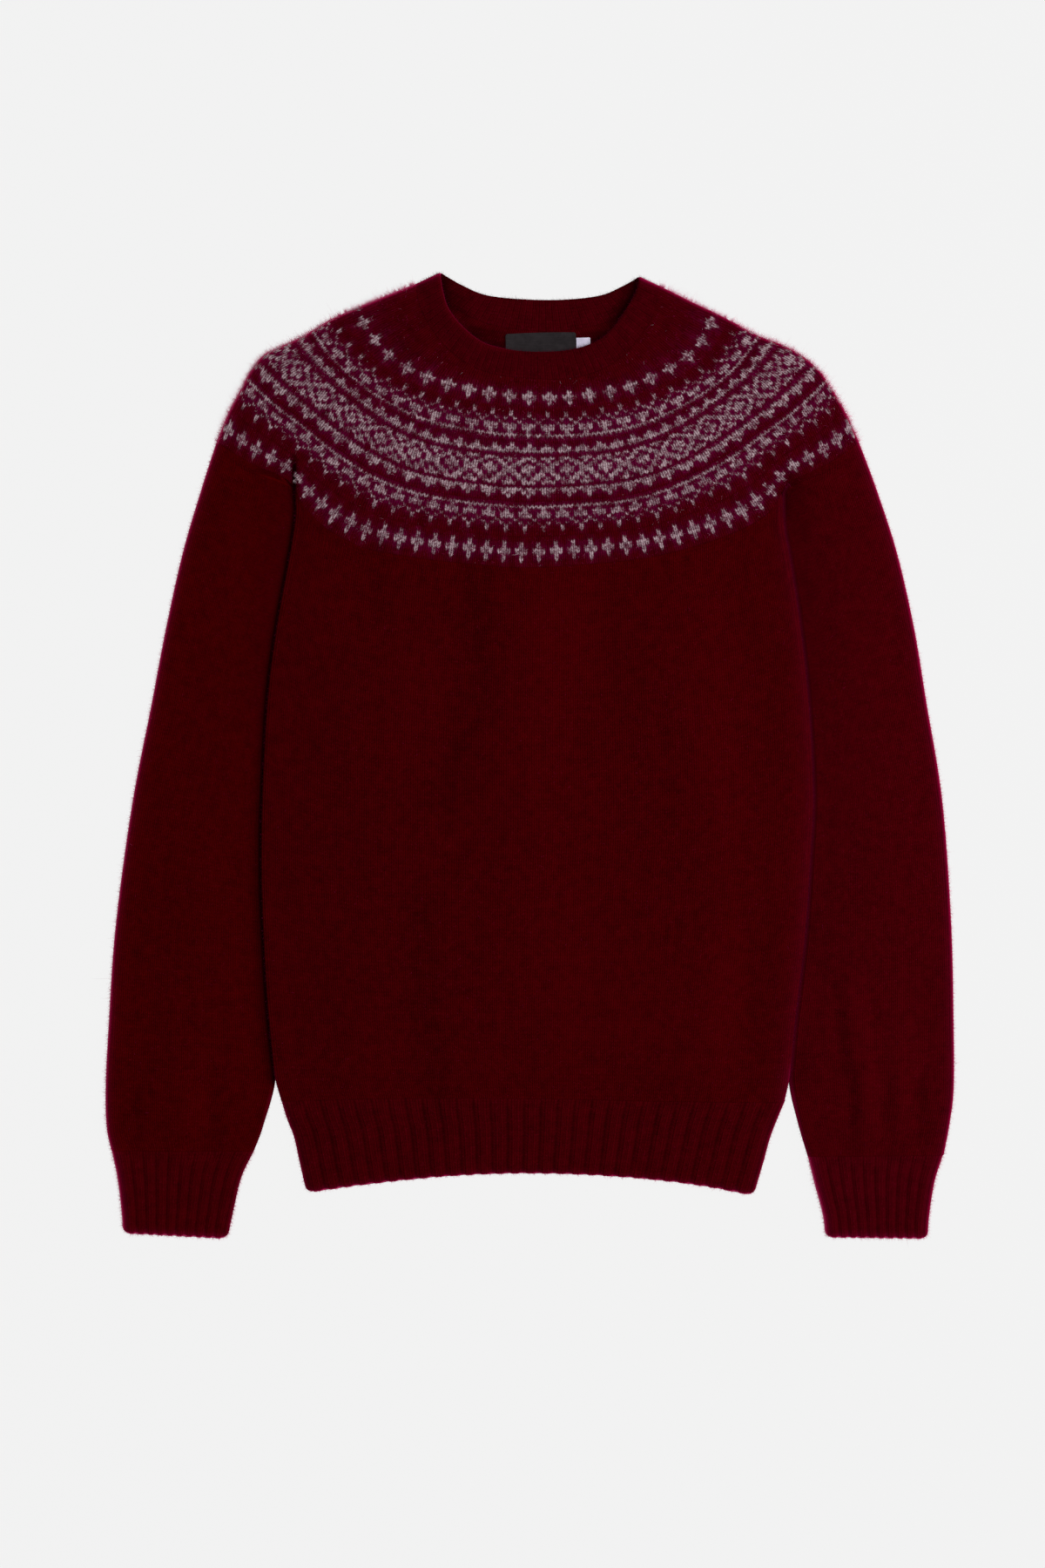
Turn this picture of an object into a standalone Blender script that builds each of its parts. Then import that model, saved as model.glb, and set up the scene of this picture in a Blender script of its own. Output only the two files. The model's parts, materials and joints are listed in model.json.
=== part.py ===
"""A knitted yoke sweater laid flat on its back, front upwards, +Y towards the neck.

The yoke, neckband, sleeves and cuffs are tubes knitted in the round and pressed flat.
The body and its hem rib are a front and a back, linked at the sides. Every piece is a
wall between an outer and an inner grid of points, worked out from the plan curves below.
"""
import math

import bmesh
import bpy
import numpy as np

NAME = "nordic_yoke_sweater"
MM = 0.001  # the sizes below are in millimetres and become metres in wall_mesh

# Cloth
WALL = 2.6  # one knitted wall
BAND_WALL = 3.2  # the neckband is turned double
AIR = 1.4  # space between the two walls of the laid garment
SEAM = 0.3  # clearance between joined pieces
RIB_RISE = 0.9  # hem and cuff ribs above their grooves
BAND_RIB_RISE = 0.5  # the finer ribs of the neckband
HEM_RIBS = 29
CUFF_RIBS = 10
BAND_RIBS_FRONT = 46
BAND_RIBS_BACK = 34

# Label and size tag, sewn inside the back of the neck
LABEL = {"width": 52, "depth": 20, "thick": 0.5, "centre": (8, 296), "tilt": 1.5}
TAG = {"width": 9.5, "depth": 11, "thick": 0.4, "centre": (39.3, 297), "tilt": 1.5}
LABEL_CORNER = 1.2

# Plan curves, each a list of (x, y). Left and right are the wearer's: the right side lies
# at -X. Lists across the garment run from -X to +X, and lists along it run from the neck
# to the hem or cuff.
NECK_FRONT = [(-64, 349), (-62, 336), (-58, 323), (-49, 311), (-35, 299), (-20, 293), (-1, 290),
              (27, 291), (48, 298), (61, 309), (72, 325), (78, 336), (80, 346)]
NECK_BACK = [(-64, 349), (-49, 339), (-30, 331), (0, 328), (27, 328), (52, 331), (68, 338), (80, 346)]
BAND_FRONT = [(-81, 341), (-80, 328), (-74, 314), (-62, 297), (-45, 283), (-25, 275), (0, 272),
              (30, 272), (56, 280), (74, 295), (88, 314), (92, 328), (93, 340)]
BAND_BACK = [(-81, 341), (-55, 324), (-30, 312), (0, 307), (27, 307), (59, 314), (79, 327), (93, 340)]
SHOULDER_RIGHT = [(-81, 341), (-113, 328), (-141, 316), (-163, 303), (-180, 295), (-192, 289),
                 (-201, 278), (-208, 265), (-217, 248), (-226, 226)]
SHOULDER_LEFT = [(93, 340), (117, 328), (142, 316), (166, 303), (182, 297), (197, 289),
                  (210, 278), (219, 265), (229, 248), (239, 226)]
ARM_RIGHT = [(-226, 226), (-215, 219), (-204, 212), (-193, 207), (-181, 202), (-174, 198)]
ARM_LEFT = [(187, 196), (195, 200), (205, 205), (216, 210), (227, 217), (239, 226)]
YOKE_FRONT = [(-169, 192), (-164, 182), (-156, 172), (-146, 163), (-134, 156), (-118, 149), (-93, 144),
              (-55, 139), (-4, 135), (49, 138), (84, 142), (115, 149), (143, 158), (166, 169),
              (177, 179), (183, 189)]
YOKE_BACK = [(-169, 192), (-162, 180), (-143, 170), (-112, 164), (-67, 160), (0, 159), (59, 160),
             (109, 163), (153, 170), (175, 179), (183, 189)]
BODY_RIGHT = [(-169, 192), (-168, 174), (-172, 146), (-181, 97), (-188, 45), (-192, -25), (-193, -84),
             (-191, -139), (-188, -187), (-183, -233), (-179, -251)]
BODY_LEFT = [(183, 189), (184, 164), (188, 142), (195, 97), (201, 45), (205, -25), (203, -75),
              (199, -132), (192, -192), (188, -234), (185, -252)]
RIB_TOP = [(-179, -251), (-99, -249), (0, -249), (96, -251), (185, -252)]
HEM_RIGHT = [(-179, -251), (-175, -264), (-170, -277), (-166, -295), (-161, -316)]
HEM_LEFT = [(185, -252), (180, -264), (175, -277), (170, -295), (163, -319)]
HEM_FOOT = [(-161, -316), (-112, -309), (-55, -304), (0, -302), (59, -304), (115, -310), (163, -319)]

# Sleeves: the outer edge, and the inner edge above and below where it lies along the body
SLEEVE_RIGHT = {
    "outer": [(-226, 226), (-237, 193), (-251, 146), (-263, 92), (-274, 35), (-288, -37), (-300, -125),
              (-305, -198), (-307, -242), (-306, -270), (-302, -287)],
    "armpit": [(-174, 198), (-169.6, 174)],
    "wrist": [(-186, -235), (-192, -268), (-199, -287)],
}
SLEEVE_LEFT = {
    "outer": [(239, 226), (251, 193), (266, 146), (278, 92), (287, 38), (299, -34), (305, -122),
              (307, -198), (307, -242), (304, -267), (300, -290)],
    "armpit": [(187, 196), (185.8, 168)],
    "wrist": [(190.2, -237), (195, -267), (202, -291)],
}
CROWDING = 1.25  # stations of body and sleeves stand closer together near the armpits
BESIDE_BODY = slice(2, 9)  # the points of a body side that a sleeve lies along
SIDE_GAP = 0.5  # between a sleeve and the body

# Cuffs, a row for each section: outer_x, outer_y, inner_x, inner_y
CUFF_RIGHT = [(-302, -287, -199, -287), (-298, -306, -208, -306), (-295, -330, -214, -331),
             (-294, -345, -218, -349)]
CUFF_LEFT = [(300, -290, 202, -291), (294, -309, 207, -311), (290, -333, 212, -333), (289, -346, 214, -345)]
SHOULDER_LEAD = 0.7  # how far the yoke's rows run ahead on the shoulder

# Largest folds of the upper wall: from_x, from_y, to_x, to_y, half_width, rise
FOLDS = [
    (8, 90, -20, -200, 24, 1.6),
    (-34, 90, -80, -185, 20, -0.9),
    (-92, 75, -118, -90, 24, 1.2),
    (98, 50, 108, -112, 20, -0.8),
    (135, 25, 131, -180, 24, 1.4),
    (188, 90, 186, -190, 13, 1.2),
    (-170, -228, 178, -230, 13, 1.0),
    (-214, 120, -246, -150, 24, 1.4),
    (236, 130, 268, -150, 26, 1.4),
    (-285, -235, -284, -290, 7, -0.9),
    (-252, -190, -254, -296, 15, 1.5),
    (-226, -230, -229, -292, 7, -0.9),
    (232, -222, 233, -284, 6, -0.9),
    (244, -190, 245, -290, 8, 1.2),
    (256, -225, 256, -294, 6, -0.9),
    (270, -195, 269, -292, 9, 1.4),
    (283, -220, 282, -290, 6, -0.9),
]

# Name, colour and roughness of each material
YARN = ("burgundy_wool", (0.034, 0.0015, 0.0035), 0.9)
YOKE_YARN = ("patterned_wool", (0.09, 0.05, 0.055), 0.9)
LABEL_CLOTH = ("charcoal_ribbon", (0.026, 0.021, 0.023), 0.7)
TAG_CLOTH = ("white_ribbon", (0.52, 0.47, 0.6), 0.6)


def by_length(dense):
    """Turn a dense polyline into a function of the share of its length."""
    steps = np.linalg.norm(np.diff(dense, axis=0), axis=1)
    run = np.concatenate([[0.0], np.cumsum(steps)])
    run /= run[-1]

    def at(share):
        return np.stack([np.interp(share, run, dense[:, 0]), np.interp(share, run, dense[:, 1])], -1)

    return at


def smooth_curve(points, samples=400):
    """A smooth line through the points, read by its share of length."""
    knots = np.array(points, float)
    ends = 2 * knots[[0, -1]] - knots[[1, -2]]
    padded = np.vstack([ends[:1], knots, ends[1:]])
    spot = np.linspace(0, len(knots) - 1, samples)
    index = np.minimum(spot.astype(int), len(knots) - 2)
    f = (spot - index)[:, None]
    before, start, stop, after = (padded[index + k] for k in range(4))
    dense = 0.5 * (2 * start + (stop - before) * f
                   + (2 * before - 5 * start + 4 * stop - after) * f ** 2
                   + (3 * start - before - 3 * stop + after) * f ** 3)
    return by_length(dense)


def join(*curves):
    """One curve that follows several, end to end."""
    share = np.linspace(0, 1, 400)
    return by_length(np.vstack([curve(share) for curve in curves]))


def with_lead(curve, lead):
    """The same curve, with its middle reached sooner."""
    return lambda v: curve(v + lead * v * (1 - v) ** 2)


def patch(head, foot, first_side, last_side):
    """Fill four edge curves in plan: u runs from side to side and v from head to foot."""
    corners = [edge(np.float64(u)) for edge in (head, foot) for u in (0, 1)]

    def at(u, v):
        a, b = np.asarray(u)[..., None], np.asarray(v)[..., None]
        between = (1 - b) * head(u) + b * foot(u) + (1 - a) * first_side(v) + a * last_side(v)
        twice = ((1 - a) * (1 - b) * corners[0] + a * (1 - b) * corners[1]
                 + (1 - a) * b * corners[2] + a * b * corners[3])
        return between - twice

    return at


def tube_patch(outer, inner, outer_first, head=None):
    """A sleeve or cuff in plan from its two edge curves, with its own head curve if it has one."""
    sides = (outer, inner) if outer_first else (inner, outer)
    if head is None:
        head = by_length(np.array([side(0.0) for side in sides]))
    return patch(head, by_length(np.array([side(1.0) for side in sides])), *sides)


def fold_lift(spot):
    """Height that the folds add to the upper wall at points in plan."""
    lift = np.zeros(spot.shape[:-1])
    for from_x, from_y, to_x, to_y, half_width, rise in FOLDS:
        start = np.array([from_x, from_y], float)
        run = np.array([to_x, to_y], float) - start
        share = np.clip(((spot - start) @ run) / (run @ run), 0, 1)
        away = np.linalg.norm(spot - start - share[..., None] * run, axis=-1) / half_width
        fade = 0.35 + 0.65 * np.sin(math.pi * share) ** 0.7
        lift += rise * fade * np.exp(-away ** 2)
    return lift


def square_rate(across, along):
    """How fast one direction leaves the line of another, measured square to that line."""
    turned = across[..., 0] * along[..., 1] - across[..., 1] * along[..., 0]
    return np.abs(turned) / np.linalg.norm(along, axis=-1)


def side_rate(at, u, v, small=1e-3):
    """Distance from the side edge at u that one unit of u covers, for each v."""
    side = np.full_like(v, u)
    across = (at(side + (small if u == 0 else -small), v) - at(side, v)) / small
    return square_rate(across, at(side, np.minimum(v + small, 1)) - at(side, np.maximum(v - small, 0)))


def head_rate(at, u, small=1e-3):
    """Distance from the head edge that one unit of v covers, for each u."""
    head = np.zeros_like(u)
    away = (at(u, head + small) - at(u, head)) / small
    return square_rate(away, at(np.minimum(u + small, 1), head) - at(np.maximum(u - small, 0), head))


def turn_columns(turns):
    """Columns of a rounded side edge: share across the cloth and angle of the turn."""
    return [(0.0, k / turns * math.pi / 2) for k in range(turns)]


def plain_columns(*runs):
    """Columns of a wall with no rib: each run gives its last share of the width and its steps."""
    shares = [0.0]
    for stop, steps in runs:
        start = shares[-1]
        shares += [start + (stop - start) * (k + 1) / steps for k in range(steps)]
    return [(share, 0.0) for share in shares]


def rib_columns(ribs, profile):
    """Columns of a ribbed wall; the profile lists each point's place in a rib and its rise."""
    return [((k + place) / ribs, rise) for k in range(ribs) for place, rise in profile] + [(1.0, 0.0)]


ROUND_RIB = ((0.0, 0.0), (0.14, 0.0), (0.32, 1.0), (0.68, 1.0), (0.86, 0.0))
FINE_RIB = ((0.0, 0.0), (0.5, 1.0))


def wall_grid(at, v, columns, upper, wall=WALL, split=0.0, turns=4, rib_rise=0.0, rib_inside=False):
    """Outer and inner points of one laid wall, as two grids of stations by columns.

    The level columns lie between two rounded side edges. An upper wall turns down to the
    middle height at its sides and a lower wall turns up to it; split holds the two apart.
    """
    radius = (2 * wall + AIR - split) / 2
    middle = radius + (split if upper else 0.0)
    way = 1 if upper else -1
    turn_up = turn_columns(turns)
    turn_down = [(1.0, angle) for _, angle in reversed(turn_up)]
    level = [(share, math.pi / 2) for share, _ in columns]
    shares, angles = np.array(turn_up + level + turn_down).T
    ribs = np.array([0.0] * turns + [rise for _, rise in columns] + [0.0] * turns) * rib_rise
    first_rate = side_rate(at, 0, v)[:, None]
    last_rate = side_rate(at, 1, v)[:, None]
    grids = []
    for reach, rib in ((radius, 0 if rib_inside else ribs), (radius - wall, -ribs if rib_inside else 0)):
        inset = radius - reach * np.cos(angles)
        u = (1 - shares) * inset / first_rate + shares * (1 - inset / last_rate)
        clear = SEAM / head_rate(at, u)
        spot = at(u, clear + (1 - clear) * v[:, None])
        height = middle + way * (reach * np.sin(angles) + rib)
        if upper:
            height = height + fold_lift(spot) * np.sin(angles) ** 2
        grids.append(np.dstack([spot, np.broadcast_to(height, u.shape)]))
    return grids


def ring_grid(upper_grids, lower_grids):
    """Close an upper and a lower wall into one tube that shares its side edges."""
    return [np.concatenate([top, under[:, -2:0:-1]], axis=1) for top, under in zip(upper_grids, lower_grids)]


def wall_mesh(name, grids, closed):
    """One closed body between the outer and the inner grid."""
    outer, inner = grids
    stations, count = outer.shape[:2]
    points = np.concatenate([outer.reshape(-1, 3), inner.reshape(-1, 3)]) * MM
    under = stations * count
    spans = [(j, (j + 1) % count) for j in range(count if closed else count - 1)]
    faces = []
    for i in range(stations - 1):
        for j, k in spans:
            a, b, c, d = i * count + j, i * count + k, (i + 1) * count + k, (i + 1) * count + j
            faces += [(a, b, c, d), (under + d, under + c, under + b, under + a)]
    last = (stations - 1) * count
    for j, k in spans:
        faces += [(j, under + j, under + k, k), (last + j, last + k, under + last + k, under + last + j)]
    if not closed:
        for i in range(stations - 1):
            a, b = i * count, (i + 1) * count
            c, d = a + count - 1, b + count - 1
            faces += [(a, b, under + b, under + a), (c, under + c, under + d, d)]
    mesh = bpy.data.meshes.new(name)
    mesh.from_pydata(points.tolist(), [], faces)
    body = bmesh.new()
    body.from_mesh(mesh)
    bmesh.ops.recalc_face_normals(body, faces=body.faces)
    bmesh.ops.triangulate(body, faces=body.faces)
    body.to_mesh(mesh)
    body.free()
    mesh.shade_smooth()
    mesh.set_sharp_from_angle(angle=math.radians(50))
    return mesh


def make_material(name, colour, roughness):
    """A Principled material with one colour."""
    material = bpy.data.materials.new(name)
    material.use_nodes = True
    shader = material.node_tree.nodes["Principled BSDF"]
    shader.inputs["Base Color"].default_value = (*colour, 1)
    shader.inputs["Roughness"].default_value = roughness
    return material


def add_piece(name, mesh, look, collection):
    """Put a mesh in the collection under its name, with its own material."""
    mesh.materials.append(make_material(name + "_" + look[0], look[1], look[2]))
    piece = bpy.data.objects.new(name, mesh)
    collection.objects.link(piece)
    return piece


def add_halves(name, plans, stations, top_columns, under_columns, collection, **cloth):
    """A front and a back, held a seam apart at the sides."""
    upper = wall_grid(plans[0], stations, top_columns, True, split=SEAM, **cloth)
    lower = wall_grid(plans[1], stations, under_columns, False, split=SEAM)
    add_piece(name + "_front", wall_mesh(name + "_front", upper, False), YARN, collection)
    add_piece(name + "_back", wall_mesh(name + "_back", lower, False), YARN, collection)


def add_tube(name, plans, stations, top_columns, under_columns, collection, look=YARN, under=None, **cloth):
    """A tube pressed flat; under holds what the lower wall has besides the wall's thickness."""
    upper = wall_grid(plans[0], stations, top_columns, True, **cloth)
    below = {"wall": cloth.get("wall", WALL), **(under or {})}
    lower = wall_grid(plans[1], stations, under_columns, False, **below)
    add_piece(name, wall_mesh(name, ring_grid(upper, lower), True), look, collection)


def add_neck_slip(name, sizes, look, collection):
    """A small woven slip on the inside of the back yoke, with cut corners."""
    bpy.ops.mesh.primitive_cube_add(size=MM)
    slip = bpy.context.object
    slip.name = slip.data.name = name
    for owner in slip.users_collection:
        owner.objects.unlink(slip)
    collection.objects.link(slip)
    slip.scale = (sizes["width"], sizes["depth"], sizes["thick"])
    bpy.ops.object.transform_apply(location=False, rotation=False, scale=True)
    slip.location = (sizes["centre"][0] * MM, sizes["centre"][1] * MM, (WALL + SEAM + sizes["thick"] / 2) * MM)
    slip.rotation_euler.z = math.radians(sizes["tilt"])
    upright = [edge for edge in slip.data.edges
               if abs(slip.data.vertices[edge.vertices[0]].co.z - slip.data.vertices[edge.vertices[1]].co.z)
               > sizes["thick"] * MM / 2]
    weights = slip.data.attributes.new("bevel_weight_edge", "FLOAT", "EDGE")
    for edge in upright:
        weights.data[edge.index].value = 1.0
    corner = slip.modifiers.new("corners", "BEVEL")
    corner.limit_method = "WEIGHT"
    corner.width = LABEL_CORNER * MM
    corner.segments = 2
    slip.data.materials.append(make_material(name + "_" + look[0], look[1], look[2]))
    return slip


def make_yoke_and_band(collection):
    """The round yoke, from the neckband to the armholes and body, and the ribbed neckband."""
    shoulders = [with_lead(smooth_curve(line), SHOULDER_LEAD) for line in (SHOULDER_RIGHT, SHOULDER_LEFT)]
    arm_right, arm_left = smooth_curve(ARM_RIGHT), smooth_curve(ARM_LEFT)
    walls = []
    for head, foot in ((BAND_FRONT, YOKE_FRONT), (BAND_BACK, YOKE_BACK)):
        walls.append(patch(smooth_curve(head), join(arm_right, smooth_curve(foot), arm_left), *shoulders))
    by_arm = (0.1, 6), (0.14, 8), (0.2, 7)
    by_other_arm = (0.86, 7), (0.9, 8), (1, 6)
    add_tube("yoke", walls, np.linspace(0, 1, 8), plain_columns(*by_arm, (0.8, 22), *by_other_arm),
             plain_columns(*by_arm, (0.8, 12), *by_other_arm), collection, YOKE_YARN)

    ends = [by_length(np.array([NECK_FRONT[k], BAND_FRONT[k]], float)) for k in (0, -1)]
    bands = [patch(smooth_curve(NECK_FRONT), smooth_curve(BAND_FRONT), *ends),
             patch(smooth_curve(NECK_BACK), smooth_curve(BAND_BACK), *ends)]
    add_tube("neckband", bands, np.linspace(0, 1, 3), rib_columns(BAND_RIBS_FRONT, FINE_RIB),
             rib_columns(BAND_RIBS_BACK, FINE_RIB), collection, wall=BAND_WALL, turns=3,
             rib_rise=BAND_RIB_RISE, under={"turns": 3, "rib_rise": BAND_RIB_RISE, "rib_inside": True})


def make_body(collection):
    """Body front and back, with the ribs at the hem."""
    sides = (smooth_curve(BODY_RIGHT), smooth_curve(BODY_LEFT))
    rib_top = smooth_curve(RIB_TOP)
    bodies = [patch(smooth_curve(head), rib_top, *sides) for head in (YOKE_FRONT, YOKE_BACK)]
    add_halves("body", bodies, np.linspace(0, 1, 14) ** CROWDING, plain_columns((0.12, 9), (0.88, 26), (1, 9)),
               plain_columns((0.12, 9), (0.88, 10), (1, 9)), collection)

    hem = patch(rib_top, smooth_curve(HEM_FOOT), smooth_curve(HEM_RIGHT), smooth_curve(HEM_LEFT))
    add_halves("hem_rib", (hem, hem), np.linspace(0, 1, 4), rib_columns(HEM_RIBS, ROUND_RIB),
               plain_columns((1, 16)), collection, rib_rise=RIB_RISE)


def make_sleeves(collection):
    """Both sleeves with their ribbed cuffs."""
    for side, sleeve, cuff, arm, body_side in (("right", SLEEVE_RIGHT, CUFF_RIGHT, ARM_RIGHT, BODY_RIGHT),
                                               ("left", SLEEVE_LEFT, CUFF_LEFT, ARM_LEFT, BODY_LEFT)):
        outer_first = side == "right"
        gap = -SIDE_GAP if outer_first else SIDE_GAP
        beside = [(x + gap, y) for x, y in body_side[BESIDE_BODY]]
        inner = smooth_curve(sleeve["armpit"] + beside + sleeve["wrist"])
        plan = tube_patch(smooth_curve(sleeve["outer"]), inner, outer_first, smooth_curve(arm))
        add_tube("sleeve_" + side, (plan, plan), np.linspace(0, 1, 20) ** CROWDING, plain_columns((1, 12)),
                 plain_columns((1, 6)), collection)
        edges = [smooth_curve([row[k:k + 2] for row in cuff]) for k in (0, 2)]
        plan = tube_patch(*edges, outer_first)
        add_tube("cuff_" + side, (plan, plan), np.linspace(0, 1, 4), rib_columns(CUFF_RIBS, ROUND_RIB),
                 plain_columns((1, 6)), collection, rib_rise=RIB_RISE)


def build():
    for thing in list(bpy.data.objects):
        bpy.data.objects.remove(thing, do_unlink=True)
    collection = bpy.data.collections.new(NAME)
    bpy.context.scene.collection.children.link(collection)
    make_yoke_and_band(collection)
    make_body(collection)
    make_sleeves(collection)
    add_neck_slip("neck_label", LABEL, LABEL_CLOTH, collection)
    add_neck_slip("size_tag", TAG, TAG_CLOTH, collection)


build()
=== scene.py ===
import json
import math

import bmesh
import bpy
import numpy as np
from mathutils import Matrix, Vector

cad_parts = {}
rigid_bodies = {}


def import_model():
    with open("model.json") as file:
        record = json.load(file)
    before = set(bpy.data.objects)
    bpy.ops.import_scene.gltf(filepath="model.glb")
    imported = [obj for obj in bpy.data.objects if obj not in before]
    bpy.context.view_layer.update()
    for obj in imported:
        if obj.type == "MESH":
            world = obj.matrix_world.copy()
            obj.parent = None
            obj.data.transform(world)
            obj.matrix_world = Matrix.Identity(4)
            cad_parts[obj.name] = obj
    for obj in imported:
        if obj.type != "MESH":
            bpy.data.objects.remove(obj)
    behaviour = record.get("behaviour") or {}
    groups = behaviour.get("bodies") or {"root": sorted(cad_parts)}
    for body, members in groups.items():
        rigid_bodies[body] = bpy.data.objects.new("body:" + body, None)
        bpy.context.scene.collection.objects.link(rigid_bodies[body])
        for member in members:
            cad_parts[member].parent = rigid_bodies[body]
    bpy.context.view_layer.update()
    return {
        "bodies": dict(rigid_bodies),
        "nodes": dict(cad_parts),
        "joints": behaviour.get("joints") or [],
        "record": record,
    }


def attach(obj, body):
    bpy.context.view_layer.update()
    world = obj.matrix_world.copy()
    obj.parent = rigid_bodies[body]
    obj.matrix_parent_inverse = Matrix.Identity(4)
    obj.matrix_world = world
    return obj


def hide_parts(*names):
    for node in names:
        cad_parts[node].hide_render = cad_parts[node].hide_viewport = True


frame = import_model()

# A knitted yoke sweater laid flat on its back. Every knitted piece is a shell on its solid's
# form: stitches and ribs on the outside, plain inside, with loose fibres standing off it.

MM = 0.001  # sizes are in millimetres until a mesh is filled

# Cloth
WALL = 2.6
BAND_WALL = 3.2
AIR = 1.4
SEAM = 0.05  # clearance between joined pieces
SPLIT = 0.3  # between a front and its back, at the sides
TAPER_FROM = 0.35  # share of the way down from which the neckband thins to the yoke
RIB_RISE = 0.9
RIB_FADE = 4.0  # courses over which the ribs of hem and cuffs set in
BAND_RIB_RISE = 0.22
HEM_RIBS = 29
CUFF_RIBS = 10
BAND_RIBS_FRONT = 46
BAND_RIBS_BACK = 34

# Stitches
STITCH = 3.28
SLANT = 0.6  # how far the top of a V stands above its foot, in courses
RELIEF = 0.34  # height of a stitch leg above the grooves beside it
TURN_STITCHES = 2  # stitches round each quarter of a side edge
LEG_COLUMNS = 4  # point columns to a stitch

# The label and the tag
LABEL = {"width": 51, "depth": 20, "thick": 0.5, "centre": (8.9, 294.9), "corner": 1.6, "bow": 0.5,
         "hem": 2.6, "stitches": 17}
TAG = {"width": 10, "depth": 11, "thick": 0.4, "centre": (39.6, 296.2), "corner": 0.4, "bow": 0.0,
       "hem": 1.0, "stitches": 3}
SLIP_TILT = math.radians(1.5)
SLIP_LIFT = 0.3  # clearance under them
STITCH_INSET = 0.9  # how far the stitches that hold them lie from their edges
STITCH_SKEW = 8  # and how far each is turned from the edge, in degrees
STITCH_HALVES = (0.75, 0.16, 0.13)  # half their length, width and height
SLIP_WAVE = 0.04  # how uneven they lie

# Plan curves, each a list of (x, y). Left and right are the wearer's: the right side lies
# at -X. Lists across the garment run from -X to +X, and lists along it run from the neck
# to the hem or cuff.
NECK_FRONT = [(-64, 349), (-62, 336), (-58, 323), (-49, 311), (-35, 299.4), (-20, 294.2),
              (-1, 291.4), (27, 292.2), (48, 298.5), (61, 309), (72, 325), (78, 336), (80, 346)]
NECK_BACK = [(-64, 349), (-49, 340.3), (-30, 332.6), (0, 329.6), (27, 329.6), (52, 332.6),
             (68, 339.3), (80, 346)]
BAND_FRONT = [(-81, 341), (-80, 328), (-74, 314), (-62, 297), (-45, 283), (-25, 275), (0, 272),
              (30, 272), (56, 280), (74, 295), (88, 314), (92, 328), (93, 340)]
BAND_BACK = [(-81, 341), (-55, 324), (-30, 312), (0, 307), (27, 307), (59, 314), (79, 327), (93, 340)]
SHOULDER_RIGHT = [(-81, 341), (-113, 328), (-141, 316), (-163, 303), (-180, 295), (-192, 289),
                 (-201, 278), (-208, 265), (-217, 248), (-226, 226)]
SHOULDER_LEFT = [(93, 340), (117, 328), (142, 316), (166, 303), (182, 297), (197, 289),
                  (210, 278), (219, 265), (229, 248), (239, 226)]
ARM_RIGHT = [(-226, 226), (-215, 219), (-204, 212), (-193, 207), (-181, 202), (-174, 198)]
ARM_LEFT = [(187, 196), (195, 200), (205, 205), (216, 210), (227, 217), (239, 226)]
YOKE_FRONT = [(-169, 192), (-164, 182), (-156, 172), (-146, 163), (-134, 156), (-118, 149), (-93, 144),
              (-55, 139), (-4, 135), (49, 138), (84, 142), (115, 149), (143, 158), (166, 169),
              (177, 179), (183, 189)]
YOKE_BACK = [(-169, 192), (-162, 180), (-143, 170), (-112, 164), (-67, 160), (0, 159), (59, 160),
             (109, 163), (153, 170), (175, 179), (183, 189)]
BODY_RIGHT = [(-169, 192), (-168, 174), (-172, 146), (-181, 97), (-188, 45), (-192, -25), (-193, -84),
             (-191, -139), (-188, -187), (-183, -233), (-179, -251)]
BODY_LEFT = [(183, 189), (184, 164), (188, 142), (195, 97), (201, 45), (205, -25), (203, -75),
              (199, -132), (192, -192), (188, -234), (185, -252)]
RIB_TOP = [(-179, -251), (-99, -249), (0, -249), (96, -251), (185, -252)]
HEM_RIGHT = [(-179, -251), (-175, -264), (-170, -277), (-166, -295), (-161, -317)]
HEM_LEFT = [(185, -252), (180, -264), (175, -277), (170, -295), (163, -319)]
HEM_FOOT = [(-161, -317), (-112, -310.3), (-55, -304.8), (0, -303), (59, -305), (115, -310.5), (163, -319)]

# The sleeves: the outer edge; the inner edge above and below where it lies along the body; the
# cuff, a row for each section (outer_x, outer_y, inner_x, inner_y); the light painted at the first
# and the last edge, partly the fuzz's own magenta, and painted shade where it is below 0; and the
# tone of the wool, whose blue differs between the sides as painted light, higher on the left
# sleeve, at +X towards the lamp
SIDES = {
    "right": {
        "arm": ARM_RIGHT,
        "body": BODY_RIGHT,
        "outer": [(-226, 226), (-236.6, 193), (-250.4, 146), (-262.4, 92), (-273.3, 35), (-287.2, -37),
                  (-299.1, -125), (-304.2, -198), (-306.3, -242), (-305.5, -270), (-302, -287)],
        "armpit": (-174, 198),
        "wrist": [(-192, -268), (-199, -287)],
        "cuff": [(-302, -287, -199, -287), (-298, -306, -208, -306), (-295, -330, -214, -331),
                 (-294, -346.3, -218, -350.3)],
        "sleeve_glow": {"glow": (1.6, -0.8), "glow_below": (1.6, 0.3), "wide": (0.04, -0.48)},
        "cuff_glow": (2.1, 0.45),
        "sleeve_tone": {"bright": 1.07, "blue": 0.6},
        "cuff_tone": {"bright": 1.07, "blue": 1.5},
    },
    "left": {
        "arm": ARM_LEFT,
        "body": BODY_LEFT,
        "outer": [(239, 226), (251.3, 193), (266.5, 146), (278.8, 92), (287.8, 38), (299.4, -34),
                  (305.8, -122), (307.6, -198), (307.6, -242), (304.7, -267), (300.4, -290)],
        "armpit": (187, 196),
        "wrist": [(195, -267), (202, -291)],
        "cuff": [(300, -290, 202, -291), (294, -309, 207, -311), (290, -334, 213, -334),
                 (289, -350.3, 214.5, -349.3)],
        "sleeve_glow": {"glow": (0.5, 1.0), "glow_below": (0.8, 1.0), "wide": (0.0, 0.09)},
        "cuff_glow": (1.8, 1.15),
        "sleeve_tone": {"bright": 1.05, "blue": 1.7},
        "cuff_tone": {"bright": 1.05, "blue": 2.6},
    },
}
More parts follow.
